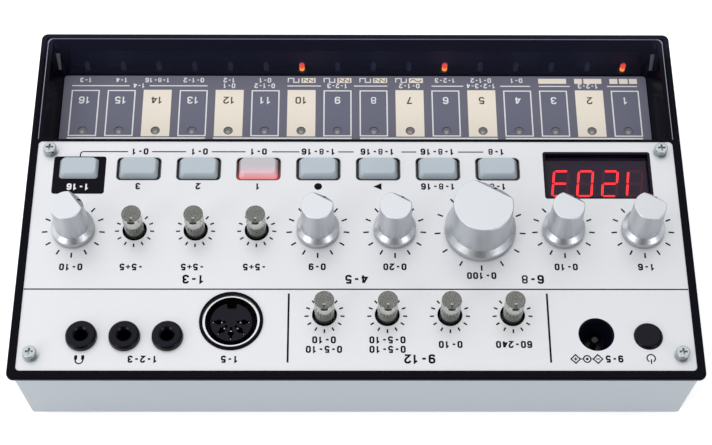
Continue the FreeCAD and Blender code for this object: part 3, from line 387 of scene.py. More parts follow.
def marks_group():
    """Geometry nodes: short bars round a middle, all pointing at it, sizes in millimetres."""
    group = bpy.data.node_groups.new("scale_marks", "GeometryNodeTree")
    inputs = (("Count", "NodeSocketInt"), ("Radius", "NodeSocketFloat"),
              ("Length", "NodeSocketFloat"), ("Width", "NodeSocketFloat"),
              ("Sweep", "NodeSocketFloat"), ("Ink", "NodeSocketMaterial"))
    for name, kind in inputs:
        group.interface.new_socket(name=name, in_out="INPUT", socket_type=kind)
    group.interface.new_socket(name="Marks", in_out="OUTPUT", socket_type="NodeSocketGeometry")
    nodes, links = group.nodes, group.links
    start = nodes.new("NodeGroupInput")
    last = math_node(group, "SUBTRACT", start.outputs["Count"], 1)
    share = math_node(group, "DIVIDE", nodes.new("GeometryNodeInputIndex").outputs[0], last)
    centred = math_node(group, "MULTIPLY_ADD", share, 2, -1)
    angle = math_node(group, "MULTIPLY", centred, start.outputs["Sweep"])
    place = nodes.new("ShaderNodeCombineXYZ")
    for axis, function in (("X", "SINE"), ("Y", "COSINE")):
        reach = math_node(group, "MULTIPLY", math_node(group, function, angle),
                          start.outputs["Radius"])
        links.new(reach, place.inputs[axis])
    points = nodes.new("GeometryNodePoints")
    links.new(start.outputs["Count"], points.inputs["Count"])
    links.new(place.outputs[0], points.inputs["Position"])
    spin = nodes.new("ShaderNodeCombineXYZ")
    links.new(math_node(group, "MULTIPLY", angle, -1), spin.inputs["Z"])
    mark = nodes.new("GeometryNodeMeshGrid")
    mark.inputs["Vertices X"].default_value = 2
    mark.inputs["Vertices Y"].default_value = 2
    links.new(start.outputs["Width"], mark.inputs["Size X"])
    links.new(start.outputs["Length"], mark.inputs["Size Y"])
    copies = nodes.new("GeometryNodeInstanceOnPoints")
    links.new(points.outputs[0], copies.inputs["Points"])
    links.new(mark.outputs["Mesh"], copies.inputs["Instance"])
    links.new(spin.outputs[0], copies.inputs["Rotation"])
    real = nodes.new("GeometryNodeRealizeInstances")
    links.new(copies.outputs[0], real.inputs[0])
    paint = nodes.new("GeometryNodeSetMaterial")
    links.new(real.outputs[0], paint.inputs["Geometry"])
    links.new(start.outputs["Ink"], paint.inputs["Material"])
    end = nodes.new("NodeGroupOutput")
    links.new(paint.outputs[0], end.inputs[0])
    return group


scale_marks = marks_group()
scale_count = 11
scale_sweep = math.radians(141.5)


def add_scale(bm, x, y, inner, outer, width, z):
    """The eleven marks of one control's scale, laid out by the geometry nodes."""
    base = bpy.data.objects.new("scale", bpy.data.meshes.new("scale"))
    bpy.context.collection.objects.link(base)
    layout = base.modifiers.new("layout", "NODES")
    layout.node_group = scale_marks
    values = {"Count": scale_count, "Radius": (inner + outer) / 2, "Length": outer - inner,
              "Width": width, "Sweep": scale_sweep, "Ink": ink_and_shade_black}
    for item in scale_marks.interface.items_tree:
        if item.in_out == "INPUT":
            layout[item.identifier] = values[item.name]
    bpy.context.view_layer.update()
    whole = bpy.context.evaluated_depsgraph_get()
    shape = bpy.data.meshes.new_from_object(base.evaluated_get(whole), depsgraph=whole)
    shape.transform(Matrix.Translation((x * MM, y * MM, z)) @ Matrix.Scale(MM, 4))
    bm.from_mesh(shape)
    base.modifiers.remove(layout)
    bpy.data.objects.remove(base)
    bpy.data.meshes.remove(shape)


def eased(points, count=5):
    """A path whose corners that carry a third value are rounded by that much."""
    same_place = 0.001
    path = []
    for index, (x, y, *ease) in enumerate(points):
        if not ease:
            path.append((x, y))
            continue
        here = Vector((x, y))
        ends = []
        for other in (points[index - 1], points[index + 1]):
            away = Vector(other[:2]) - here
            ends.append(here + away * min(1, ease[0] / away.length))
        for k in range(count + 1):
            t = k / count
            path.append(tuple(ends[0] * (1 - t) ** 2 + here * 2 * t * (1 - t) + ends[1] * t ** 2))
    return path[:1] + [b for a, b in zip(path, path[1:]) if math.dist(a, b) > same_place]


# The paths of each figure in a box half as wide as it is tall. A third value
# rounds that corner.
strokes = {
    "0": [[(0.25, 0), (0, 0, 0.25), (0, 1, 0.25), (0.5, 1, 0.25), (0.5, 0, 0.25), (0.25, 0)]],
    "1": [[(0.12, 0.74), (0.37, 1), (0.37, -0.06)]],
    "2": [[(0, 0.72), (0, 1, 0.25), (0.5, 1, 0.24), (0.5, 0.56, 0.19), (0, 0), (0.54, 0)]],
    "3": [[(0, 0.77), (0, 1, 0.23), (0.48, 1, 0.23), (0.48, 0.54, 0.22), (0.17, 0.54)],
          [(0.2, 0.54), (0.5, 0.54, 0.24), (0.5, 0, 0.25), (0, 0, 0.25), (0, 0.24)]],
    "4": [[(0.38, -0.06), (0.38, 1.02)], [(0.32, 1), (-0.02, 0.26), (0.56, 0.26)]],
    "5": [[(0.5, 1), (0.05, 1), (0.02, 0.52)],
          [(0.02, 0.58), (0.5, 0.62, 0.24), (0.5, 0, 0.25), (0, 0, 0.25), (0, 0.22)]],
    "6": [[(0.5, 0.78), (0.5, 1, 0.22), (0, 1, 0.25), (0, 0, 0.25), (0.5, 0, 0.25),
           (0.5, 0.57, 0.24), (0.1, 0.57)]],
    "7": [[(-0.03, 1), (0.5, 1), (0.16, -0.05)]],
    "8": [[(0.25, 0), (0, 0, 0.25), (0, 0.54, 0.22), (0.5, 0.54, 0.22), (0.5, 0, 0.25),
           (0.25, 0)],
          [(0.25, 1), (0.02, 1, 0.22), (0.02, 0.54, 0.2), (0.48, 0.54, 0.2), (0.48, 1, 0.22),
           (0.25, 1)]],
    "9": [[(0, 0.22), (0, 0, 0.22), (0.5, 0, 0.25), (0.5, 1, 0.25), (0, 1, 0.25),
           (0, 0.43, 0.24), (0.4, 0.43)]],
    "-": [[(0.03, 0.47), (0.42, 0.47)]],
    "+": [[(-0.1, 0.47), (0.6, 0.47)], [(0.25, 0.09), (0.25, 0.85)]],
}
crowded_figures, crowded_weight = "+8", 0.75
stroke_rise = 0.3 * ink_rise


def letters(bm, words, x, y, height, z, weight=0.5, wide=1.1):
    """Adds a row of figures made of strokes, centred on a point, sizes in millimetres."""
    tall = height - weight
    figure_width = tall * wide * 0.5
    step = figure_width + 1.6 * weight
    left = x - step * (len(words) - 1) / 2 - figure_width / 2
    for index, word in enumerate(words):
        pen = weight * (crowded_weight if word in crowded_figures else 1)
        for order, stroke in enumerate(strokes[word]):
            path = [(left + index * step + a * tall * wide, y - tall / 2 + b * tall)
                    for a, b in eased(stroke)]
            ribbon(bm, path, pen, z + order * stroke_rise)


first_column, column_pitch = 81.65, 17.63
columns = [first_column - column_pitch * k for k in range(8)]
knob_y, stem_y = 10.95, 38.05
knob_places = {"volume": 81.65, "lfo_amount": 11.1, "lfo_rate": -11.1, "cutoff": -35.8,
               "peak": -59.9, "octave": -82.9}
stem_places = {"pitch_three": (columns[1], knob_y), "pitch_two": (columns[2], knob_y),
               "pitch_one": (columns[3], knob_y), "sweep": (9.0, stem_y),
               "decay": (-8.63, stem_y), "attack": (-26.26, stem_y), "tempo": (-43.89, stem_y)}
print_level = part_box("panel_plate")[1].z + ink_rise
bm = bmesh.new()

# The scales of the knobs and stems.
knob_scale, cutoff_scale, knob_mark_width = (7.5, 9.1), (11.5, 13.2), 0.48
stem_scale, stem_mark_width = (4.5, 5.65), 0.46
for name, x in knob_places.items():
    inner, outer = cutoff_scale if name == "cutoff" else knob_scale
    add_scale(bm, x, knob_y, inner, outer, knob_mark_width, print_level)
for x, y in stem_places.values():
    add_scale(bm, x, y, *stem_scale, stem_mark_width, print_level)

# The lines that part the groups, the row of lines in front of the buttons and the
# black field round the first button. A thin black ring round each button's hole is
# painted shadow of the gap round its cap.
long_line = bar(-94.2, 94.2, 29.87, 30.25)
upright_lines = [bar(x, x + 0.55, 31.4, 52.7) for x in (-54.2, 18.88)]
button_lines = [bar(x0, x1, -15.56, -15.22) for x0, x1 in (
    (67.6, 80.7), (50.4, 60.5), (32.8, 42.8), (16.8, 24.9), (0.7, 5.3), (-17.9, -13.5),
    (-37.8, -30.3))]
first_field = rounded_bar(73.8, 89.2, -13.7, -1.0, 0.8)
flat_faces(bm, [long_line, *upright_lines, *button_lines, first_field], print_level)
bend_x, bend_y, bend_radius, bend_width = 80.7, -14.5, 0.9, 0.34
bend = turn_round(bend_x, bend_y, bend_radius, 0, -90)
ribbon(bm, [(bend_x + bend_radius, bend_y + bend_radius)] + bend, bend_width, print_level)
button_front, button_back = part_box("func_button")
button_y = (button_front.y + button_back.y) / 2 / MM
# The black rings round the holes are painted shadow; the lines and fields are print.
hole_half_width, hole_half_depth, hole_corner, hole_shadow_width = 6.5, 3.8, 1.3, 0.14
for x in columns:
    hole_shadow = rounded_bar(x - hole_half_width, x + hole_half_width, button_y - hole_half_depth,
                       button_y + hole_half_depth, hole_corner)
    ribbon(bm, hole_shadow + hole_shadow[:2], hole_shadow_width, print_level + 0.5 * ink_rise)

# The numbers, row by row: each row's place on Y, then its words with theirs on X.
word_height, group_height = 2.2, 2.85
word_rows = (
    (23.0, (("0-10", 81.5), ("-5+5", 64.3), ("-5+5", 46.8), ("-5+5", 29.1))),
    (22.9, (("0-9", 11.2), ("0-20", -11.0), ("0-10", -60.0), ("1-6", -83.0))),
    (25.7, (("0-100", -35.7),)),
    (47.2, (("60-240", -43.9), ("0-10", -26.2))),
    (48.7, (("0-5-10", -8.6), ("0-5-10", 9.1))),
    (45.8, (("0-5-10", -8.6), ("0-10", 9.1))),
    (51.7, (("1-5", 35.2), ("1-2-3", 59.3))),
    (51.6, (("9-5", -71.6),)),
    (-3.6, (("3", 64.0), ("2", 46.4), ("1", 28.8), ("1-8-16", -24.1), ("1-8", -41.7))),
    (-15.5, (("0-1", 64.0), ("0-1", 46.4), ("0-1", 28.9), ("1-8-16", 11.1), ("1-8-16", -6.4),
             ("1-8-16", -24.2), ("1-8", -41.7))))
for y, words_in_row in word_rows:
    for words, x in words_in_row:
        letters(bm, words, x, y, word_height, print_level)
group_words = (("1-3", 46.3, 26.9), ("4-5", 0, 26.9), ("6-8", -50.2, 26.9),
               ("9-12", -17.5, 51.6))
for words, x, y in group_words:
    letters(bm, words, x, y, group_height, print_level, weight=0.6, wide=1.15)

# The round and pointed signs of the record and play buttons.
record_x, play_x, sign_y, sign_half, play_length = 11.15, -7.45, -3.55, 1.15, 2.4
flat_faces(bm, [spot(record_x, sign_y, sign_half),
                [(play_x, sign_y - sign_half), (play_x + play_length, sign_y),
                 (play_x, sign_y + sign_half)]], print_level)

# The power sign: an open ring and its upright.
sign_width = 0.36
power_x, power_y, power_ring = -81.8, 51.4, 1.15
upright_foot, upright_head = 0.3, 1.7
ribbon(bm, turn_round(power_x, power_y, power_ring, 120, 420, count=28), sign_width,
       print_level)
flat_faces(bm, [bar(power_x - sign_width / 2, power_x + sign_width / 2,
                    power_y + upright_foot, power_y + upright_head)], print_level)

# The polarity sign of the power inlet: minus and plus in diamonds, joined to a
# ring with a spot in it.
inlet_x, inlet_y, inlet_ring, inlet_spot = -64.0, 51.6, 1.0, 0.4
minus_x, plus_x, diamond = -67.0, -60.8, 1.3
half_stroke, half_sign = 0.15, 0.5
ribbon(bm, turn_round(inlet_x, inlet_y, inlet_ring, 0, 360, count=28), sign_width,
       print_level)
for x in (minus_x, plus_x):
    seam = (x + diamond / 2, inlet_y + diamond / 2)
    ribbon(bm, [seam, (x, inlet_y + diamond), (x - diamond, inlet_y), (x, inlet_y - diamond),
                (x + diamond, inlet_y), seam], sign_width, print_level)
sign_bars = [bar(x0, x1, inlet_y - half_stroke, inlet_y + half_stroke) for x0, x1 in (
    (minus_x - half_sign, minus_x + half_sign), (plus_x - half_sign, plus_x + half_sign),
    (-65.7, -65.1), (-62.8, -62.1))]
sign_bars += [bar(plus_x - half_stroke, plus_x + half_stroke, inlet_y + y0, inlet_y + y1)
              for y0, y1 in ((-half_sign, -half_stroke), (half_stroke, half_sign))]
flat_faces(bm, sign_bars + [spot(inlet_x, inlet_y, inlet_spot, count=20)], print_level)

# The headphones sign: a bow and its two pads.
phones_x, phones_y, phones_bow = 76.9, 52.0, 1.05
pad_inner, pad_outer, pad_foot, pad_head, pad_corner = 0.55, 1.4, -1.5, -0.1, 0.3
ribbon(bm, turn_round(phones_x, phones_y, phones_bow, -25, 205, count=20), sign_width,
       print_level)
flat_faces(bm, [rounded_bar(phones_x + x0, phones_x + x1, phones_y + pad_foot,
                            phones_y + pad_head, pad_corner)
                for x0, x1 in ((-pad_outer, -pad_inner), (pad_inner, pad_outer))], print_level)
piece("panel_print_and_shadow", bm, ink_and_shade_black, "case")

bm = bmesh.new()
letters(bm, "1-16", 81.5, -3.4, word_height, print_level + ink_rise)
piece("button_field_print", bm, ink_white, "case")


# Panel screws and case screws
# Bright zinc-plated steel, with domed cross heads on the panel and longer
# screws sunk into the floor of the case.

screw_steel = moulded(
    "screw_steel", (0.42, 0.45, 0.47), 0.22, mottle=0.15, mottle_scale=900, gloss_change=0.15,
    skin_scale=4000, skin_depth=0.006, metallic=1.0)
for node in ("panel_screws", "case_screws"):
    dress(node, screw_steel)


# Knobs
# Turned aluminium with a satin skin, a wide foot and a slanted facet. A black
# line is printed down the facet and the side, where the knob points.

knob_metal = moulded(
    "knob_metal", (0.595, 0.615, 0.645), 0.36, mottle=0.03, mottle_scale=500, gloss_change=0.06,
    skin_scale=5200, skin_depth=0.012, metallic=0.95, upright=0.01)
shade_below(knob_metal, dark=31.1, light=33.1, floor=0.62)
shaft_metal = moulded(
    "shaft_metal", (0.42, 0.42, 0.42), 0.25, mottle=0.1, mottle_scale=700, metallic=1.0,
    skin_scale=6000, skin_depth=0.006)
plain_knob = {"foot_reach": 6.15, "foot_top": 33.2, "waist_reach": 4.9, "waist_level": 34.5,
              "top_reach": 4.55, "height": 45.7, "chord": 2.9}
cutoff_knob = {"foot_reach": 10.25, "foot_top": 33.05, "waist_reach": 8.95, "waist_level": 34.8,
               "top_reach": 8.45, "height": 46.3, "chord": 5.65}
knob_foot = 31.25
facet_slope = 1.28


def knob_line(bm, x, turn, foot_reach, foot_top, waist_reach, waist_level, top_reach, height,
              chord):
    """The black line of one knob, a hair off its metal, turned clockwise from 12 o'clock."""
    half, lift, edge_lift, start = 0.32, 0.03, 0.04, 0.6
    waist_gap, foot_gap, bevel_gap = 0.05, 0.15, 0.35
    fall = (top_reach + 0.02 - chord) * facet_slope
    spin = Matrix.Translation((x * MM, knob_y * MM, 0)) @ Matrix.Rotation(
        math.radians(-turn), 4, "Z")

    def across(reach, z):
        """The two corners of the line at one reach from the knob's axis."""
        return [bm.verts.new(spin @ Vector((side * half * MM, reach * MM, z * MM)))
                for side in (1, -1)]

    rows = [across(chord + start, height - start * facet_slope + lift),
            across(top_reach + edge_lift, height - fall + lift),
            across(waist_reach + lift, waist_level + waist_gap)]
    for a, b in zip(rows, rows[1:]):
        bm.faces.new((a[0], a[1], b[1], b[0]))
    low = across(foot_reach + lift, knob_foot + foot_gap)
    high = across(foot_reach + lift, foot_top - bevel_gap)
    bm.faces.new((low[0], high[0], high[1], low[1]))


volume_turn, plain_turn = -127, -150
for name, x in knob_places.items():
    dress(f"{name}_knob", knob_metal)
    dress(f"{name}_shaft", shaft_metal)
    turn = volume_turn if name == "volume" else plain_turn
    bm = bmesh.new()
    knob_line(bm, x, turn, **(cutoff_knob if name == "cutoff" else plain_knob))
    bmesh.ops.recalc_face_normals(bm, faces=bm.faces)
    piece(f"{name}_line", bm, ink_and_shade_black, name)
dress("knob_pots", shaft_metal)


# Clear stems
# Small controls with no knob: a round rod of clear plastic that stands in a
# hole in the panel and turns a trimmer on the board below. A short black mark
# near its top shows where it points.

stem_clear = moulded("stem_clear", (0.78, 0.79, 0.72), 0.07, mottle=0.25, mottle_scale=250,
                     skin_scale=2200, skin_depth=0.0015, upright=0.02)
stem_shader = stem_clear.node_tree.nodes["Principled BSDF"]
stem_shader.inputs["Transmission Weight"].default_value = 0.85
stem_shader.inputs["IOR"].default_value = 1.49
shade_below(stem_clear, dark=30.4, light=36.4, floor=0.12)
stem_mark = moulded("stem_mark", (0.012, 0.012, 0.012), 0.5, mottle=0.2, mottle_scale=900,
                    shine=0.15)
mark_first, mark_last, mark_low, mark_high, mark_rise = 69, 111, 1.35, 0.25, 0.01
for name, (x, y) in stem_places.items():
    dress(f"{name}_stem", stem_clear)
    low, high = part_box(f"{name}_stem")
    reach = (high.x - low.x) / 2 / MM + mark_rise
    z0, z1 = high.z - mark_low * MM, high.z - mark_high * MM
    bm = bmesh.new()
    curve = turn_round(x, y, reach, mark_first, mark_last, count=10)
    for (x0, y0), (x1, y1) in zip(curve, curve[1:]):
        corners = ((x0, y0, z0), (x0, y0, z1), (x1, y1, z1), (x1, y1, z0))
        bm.faces.new([bm.verts.new((px * MM, py * MM, pz)) for px, py, pz in corners])
    bmesh.ops.recalc_face_normals(bm, faces=bm.faces)
    piece(f"{name}_mark", bm, stem_mark, name)
part_black = moulded("part_black", (0.0028, 0.0028, 0.008), 0.18, skin_depth=0.003, shine=0.13)
dress("trimmer_pots", part_black)


# Buttons
# Caps of milky blue-grey plastic over push switches. The one that is switched
# on glows red from a light under its back edge. The power cap is black, with a
# thin ring round its top.

button_blue = moulded(
    "button_blue", (0.45, 0.51, 0.56), 0.32, mottle=0.03, mottle_scale=200, skin_depth=0.003,
    shine=0.35)
button_glow = moulded(
    "button_glow", (0.50, 0.50, 0.54), 0.32, mottle=0.03, mottle_scale=200, skin_depth=0.003,
    shine=0.35)
glow_start, glow_end, glow_power = -11.5, -6.3, 2.5
glow_tree = button_glow.node_tree
glow_shader = glow_tree.nodes["Principled BSDF"]
toward_back = math_node(glow_tree, "POWER", share_along(glow_tree, "Y", glow_start, glow_end),
                        glow_power)
glow_tree.links.new(blend(glow_tree, toward_back, (0.05, 0.0, 0.0), (0.9, 0.05, 0.05)),
                    glow_shader.inputs["Emission Color"])
glow_shader.inputs["Emission Strength"].default_value = 0.6
# Painted shade: each cap darkens into the gap round it, and its bevel is darker than its top.
for material in (button_blue, button_glow):
    shade_below(material, dark=30.6, light=30.95, floor=0.03)
    shade_below(material, dark=31.1, light=32.2, floor=0.62)
button_names = ("func", "mute_three", "mute_two", "mute_one", "record", "play", "step_mode",
                "memory")
for name in button_names:
    dress(f"{name}_button", button_glow if name == "mute_one" else button_blue)
for node in ("power_button", "power_switch", "button_switches"):
    dress(node, part_black)


def ring_faces(x, y, inner, outer, count):
    """A printed ring, as short four-sided faces."""
    angles = [2 * math.pi * k / count for k in range(count + 1)]
    return [[(x + r * math.sin(t), y + r * math.cos(t))
             for r, t in ((inner, a), (outer, a), (outer, b), (inner, b))]
            for a, b in zip(angles, angles[1:])]


cap_ring = moulded("cap_ring", (0.03, 0.032, 0.05), 0.3, mottle=0.3, mottle_scale=700)
ring_inner, ring_outer, ring_drop = 2.78, 2.9, 0.005
low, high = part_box("power_button")
middle = (low + high) / 2 / MM
bm = bmesh.new()
flat_faces(bm, ring_faces(middle.x, middle.y, ring_inner, ring_outer, count=48),
           high.z - ring_drop * MM)
piece("power_button_ring", bm, cap_ring, "power")


# Sockets
# Black moulded bodies soldered to the main board: three mini jacks, a DIN
# socket with a plated shield and five contacts whose bright tips show, and a
# funnel-mouthed power inlet with its pin.

for node in ("power_jack", "midi_insert", "mini_jacks"):
    dress(node, part_black)
dress("power_jack_pin", moulded("pin_dark", (0.03, 0.03, 0.032), 0.4, metallic=0.4, shine=0.2))
dress("midi_housing", case_black)
dress("midi_shield", moulded("shield_metal", (0.62, 0.62, 0.62), 0.22, mottle=0.1,
                             mottle_scale=700, metallic=1.0, skin_depth=0.004))
low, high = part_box("midi_insert")
middle = (low + high) / 2
contact_tips, tip_drop = ((2.6, 0.32), (5.05, 0.24)), 0.05
bm = bmesh.new()
for angle in range(0, 181, 45):
    way = Vector((math.cos(math.radians(angle)), math.sin(math.radians(angle)), 0))
    for reach, radius in contact_tips:
        place = middle + way * reach * MM
        place.z = high.z - (radius + tip_drop) * MM
        bmesh.ops.create_icosphere(bm, subdivisions=2, radius=radius * MM,
                                   matrix=Matrix.Translation(place))
piece("midi_contacts", bm, screw_steel, "case")


# Display
# A black frame lines the cut-out and holds a violet-grey window over a module
# of four seven-bar figures, whose lit bars are red. The unlit bars carry a faint
# red painted glow, though they are off.

def smoked(name, colour, clearness, roughness, refraction):
    """A dark plastic that lets some light through."""
    material, shader = new_material(name)
    shader.inputs["Base Color"].default_value = (*colour, 1)
    shader.inputs["Transmission Weight"].default_value = clearness
    shader.inputs["Roughness"].default_value = roughness
    shader.inputs["IOR"].default_value = refraction
    return material


dress("display_frame", part_black)
dress("display_window", smoked("window_smoke", (0.078, 0.042, 0.098), clearness=0.75,
                               roughness=0.05, refraction=1.25))
dress("display_module", moulded("module_face", (0.022, 0.014, 0.028), 0.5, shine=0.3))
figure_red, figure_shader = new_material("figure_red")
figure_shader.inputs["Base Color"].default_value = (0.5, 0.03, 0.03, 1)
figure_shader.inputs["Emission Color"].default_value = (1.0, 0.03, 0.012, 1)
figure_shader.inputs["Emission Strength"].default_value = 46
# Painted glow: the unlit bars glow faintly red, though they are off.
faint_bar_glow = moulded("faint_bar_glow", (0.05, 0.030, 0.048), 0.5, skin_depth=0.003, shine=0.3)
faint_bar_shader = faint_bar_glow.node_tree.nodes["Principled BSDF"]
faint_bar_shader.inputs["Emission Color"].default_value = (1.0, 0.03, 0.03, 1)
faint_bar_shader.inputs["Emission Strength"].default_value = 1.1

# Each bar's column and row in a figure, and whether it stands upright.
figure_bars = {"a": (0, 2, 0), "b": (1, 1, 1), "c": (1, -1, 1), "d": (0, -2, 0),
               "e": (-1, -1, 1), "f": (-1, 1, 1), "g": (0, 0, 0)}
lit_bars = {"1": "bc", "2": "abged", "3": "abgcd", "0": "abcdef"}
display_x, display_y, figure_pitch = -71.5, -6.3, 7.35
bar_column, bar_row, bar_half, bar_lean = 2.1, 2.12, 0.33, 0.13
upright_reach, level_reach = 2.0, 1.85


def figure_bar(x, y, upright):
    """One bar of a leaning figure, with pointed ends."""
    half = bar_half
    if upright:
        reach = upright_reach
        points = [(-half, -reach + half), (0, -reach), (half, -reach + half),
                  (half, reach - half), (0, reach), (-half, reach - half)]
    else:
        reach = level_reach
        points = [(-reach, 0), (-reach + half, -half), (reach - half, -half), (reach, 0),
                  (reach - half, half), (-reach + half, half)]
    return [(display_x + x + px + (y + py) * bar_lean, display_y + y + py) for px, py in points]


lit, unlit = bmesh.new(), bmesh.new()
module_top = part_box("display_module")[1].z
shown = "1203"
for index, figure in enumerate(shown):
    middle = (index - (len(shown) - 1) / 2) * figure_pitch
    for bar_name, (column, row, upright) in figure_bars.items():
        flat_faces(lit if bar_name in lit_bars[figure] else unlit,
                   [figure_bar(middle + column * bar_column, row * bar_row, upright)],
                   module_top + ink_rise)
piece("display_figures", lit, figure_red, "case")
piece("display_unlit_bars", unlit, faint_bar_glow, "case")


# Touch strip
# A printed film over the touch board. The ground is grey-violet. The numbers
# and lines are screen-printed in white ink, six of the keys are filled with
# cream ink, and each key has a round window for its light.

strip_grey = moulded(
    "strip_grey", (0.135, 0.132, 0.185), 0.45, mottle=0.04, mottle_scale=60, skin_depth=0.003,
    shine=0.35)
dress("touch_strip", strip_grey)
key_grey = moulded(
    "key_grey", (0.128, 0.131, 0.19), 0.42, mottle=0.04, mottle_scale=60, skin_depth=0.003,
    shine=0.35)
ink_cream = moulded(
    "ink_cream", (0.87, 0.79, 0.68), 0.5, mottle=0.03, mottle_scale=80, skin_depth=0.003,
    shine=0.35)
ink_brown = moulded("ink_brown", (0.07, 0.055, 0.055), 0.5, skin_depth=0.003, shine=0.3)


def holed_face(bm, outer, hole, z):
    """A flat face with a round hole."""
    edges = []
    for ring in (outer, hole):
        corners = [bm.verts.new((x * MM, y * MM, z)) for x, y in ring]
        edges += [bm.edges.new(pair) for pair in zip(corners, corners[1:] + corners[:1])]
    bmesh.ops.triangle_fill(bm, edges=edges, use_beauty=True, normal=(0, 0, 1))


def frame_bars(x0, x1, y0, y1, width):
    """The four bars of a printed frame."""
    return [bar(x0, x1, y0, y0 + width), bar(x0, x1, y1 - width, y1),
            bar(x0, x0 + width, y0 + width, y1 - width),
            bar(x1 - width, x1, y0 + width, y1 - width)]


key_pitch = 11.14
keys = [-7.5 * key_pitch + k * key_pitch for k in range(16)]
filled_keys = (2, 5, 7, 10, 12, 14)
key_half, ground_half, key_line = 4.35, 4.1, 0.4
filled_front, filled_rear = -43.65, -26.75
frame_front, frame_rear = -43.55, -26.8
ground_front, ground_rear = -43.4, -27.2
key_number_y, key_number_height = -39.85, 2.6
key_light_y, key_window_radius = -28.8, 1.43
strip_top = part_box("touch_strip")[1].z
on_strip = strip_top + ink_rise
cream, white, brown, ground = bmesh.new(), bmesh.new(), bmesh.new(), bmesh.new()
for number, x in enumerate(keys, 1):
    window = spot(x, key_light_y, key_window_radius, count=28)
    if number in filled_keys:
        number_ink = brown
        holed_face(cream, bar(x - key_half, x + key_half, filled_front, filled_rear), window,
                   on_strip)
    else:
        number_ink = white
        holed_face(ground, bar(x - ground_half, x + ground_half, ground_front, ground_rear),
                   window, strip_top + 0.5 * ink_rise)
        flat_faces(white, frame_bars(x - key_half, x + key_half, frame_front, frame_rear,
                                     key_line), on_strip)
    letters(number_ink, str(number), x, key_number_y, key_number_height, on_strip + ink_rise,
            weight=0.45, wide=1.2)

# Lines behind and in front of the keys, and the blocks over the first three.
rear_lines = ((-87.8, -45.8), (-43.4, -1.3), (1.2, 43.5), (46.0, 88.1))
front_lines = ((-87.6, -78.2), (-66.6, -57.0), (-54.3, -45.0), (-33.5, -23.6), (-9.9, 0.5),
               (10.7, 21.2), (45.9, 63.9), (70.1, 87.9))
key_blocks = ((-87.7, -85.2), (-84.8, -82.1), (-81.6, -79.1), (-76.6, -71.0), (-70.5, -68.1),
              (-65.6, -56.9))
for ink, places, front, rear in ((white, rear_lines, -26.35, -25.85),
                                 (white, front_lines, -45.32, -44.95),
                                 (cream, key_blocks, -47.95, -46.1)):
    flat_faces(ink, [bar(x0, x1, front, rear) for x0, x1 in places], on_strip)

# Over four keys, a cream block with a brown wave and a white square wave beside it.
sine_wave = ((-3.8, -47.4), (-3.1, -46.8), (-2.3, -46.9), (-1.6, -47.5), (-0.9, -47.6),
             (-0.3, -47.0))
saw_wave = ((-3.7, -47.8), (-3.7, -46.6), (-2.1, -47.8), (-2.1, -46.6), (-0.5, -47.8),
            (-0.5, -46.6))
square_wave = ((0.9, -47.95), (0.9, -46.5), (2.5, -46.5), (2.5, -47.95), (4.2, -47.95),
               (4.2, -46.5))
wave_keys, sine_key = (7, 8, 9, 10), 7
wave_block = bar(-4.3, 0.1, -48.1, -46.3)
brown_width, white_width = 0.25, 0.35
for number in wave_keys:
    x = keys[number - 1]
    flat_faces(cream, [[(x + px, py) for px, py in wave_block]], on_strip)
    wave = sine_wave if number == sine_key else saw_wave
    ribbon(brown, [(x + px, py) for px, py in wave], brown_width, on_strip + ink_rise)
    ribbon(white, [(x + px, py) for px, py in square_wave], white_width, on_strip)

# Two rows of small numbers over the keys, as on the panel.
key_word_height = 1.75
key_word_rows = (
    (-45.2, (("1-2-3", -72.3), ("1-2-3-4", -39.0), ("0-1-2", -16.7), ("1-2-3", 5.6),
             ("0-1-2", 28.2), ("0-1", 39.2), ("1-4", 67.1))),
    (-47.25, (("0-1", -50.1), ("0-1-2", -39.0), ("1-2-3", -27.9), ("0-1", 28.1),
              ("1-2", 39.2), ("0-1-2", 50.3), ("1-8-16", 61.5), ("1-4", 72.6), ("1-3", 83.7))))
for y, words_in_row in key_word_rows:
    for words, x in words_in_row:
        letters(white, words, x, y, key_word_height, on_strip, weight=0.34)
piece("strip_cream_print", cream, ink_cream, "case")
piece("strip_white_print", white, ink_white, "case")
piece("strip_brown_print", brown, ink_brown, "case")
piece("strip_key_ground", ground, key_grey, "case")


# Lights
# A small lamp under each key's window, off here, and a row of sixteen bullets
# behind the smoked lens, of which three are lit. A lit one is orange at its
# root and red above, and its side towards the wall is dim.

lit_keys = (1, 6, 10)
lamp_half = 2
lamp_low, lamp_high = 21.6, 23.2
light_red, light_shader = new_material("light_red")
light_shader.inputs["Roughness"].default_value = 0.2
light_shader.inputs["Emission Strength"].default_value = 11.0
light_tree = light_red.node_tree
light_x = place_on(light_tree, "X")
lit_share = 0
for number in lit_keys:
    near = math_node(light_tree, "COMPARE", light_x, keys[number - 1] * MM, lamp_half * MM)
    lit_share = math_node(light_tree, "ADD", near, lit_share)
lamp_core = light_tree.nodes.new("ShaderNodeValToRGB")
light_tree.links.new(share_along(light_tree, "Z", lamp_low, lamp_high), lamp_core.inputs["Fac"])
core_steps = lamp_core.color_ramp.elements
core_steps[0].color = (1.0, 0.30, 0.03, 1)
core_steps[1].color = (0.7, 0.06, 0.03, 1)
for share, colour in ((0.3, (1.0, 0.14, 0.008, 1)), (0.5, (0.8, 0.055, 0.002, 1)),
                      (0.72, (0.65, 0.04, 0.001, 1)), (0.88, (1.0, 0.16, 0.05, 1))):
    core_steps.new(share).color = colour
low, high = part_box("step_leds")
lamp_y = (low.y + high.y) / 2 / MM
dim_half, dim_share = 0.1, 0.1
toward_camera = share_along(light_tree, "Y", lamp_y - dim_half, lamp_y + dim_half, dim_share)
light_level = math_node(light_tree, "MULTIPLY", lit_share, toward_camera)
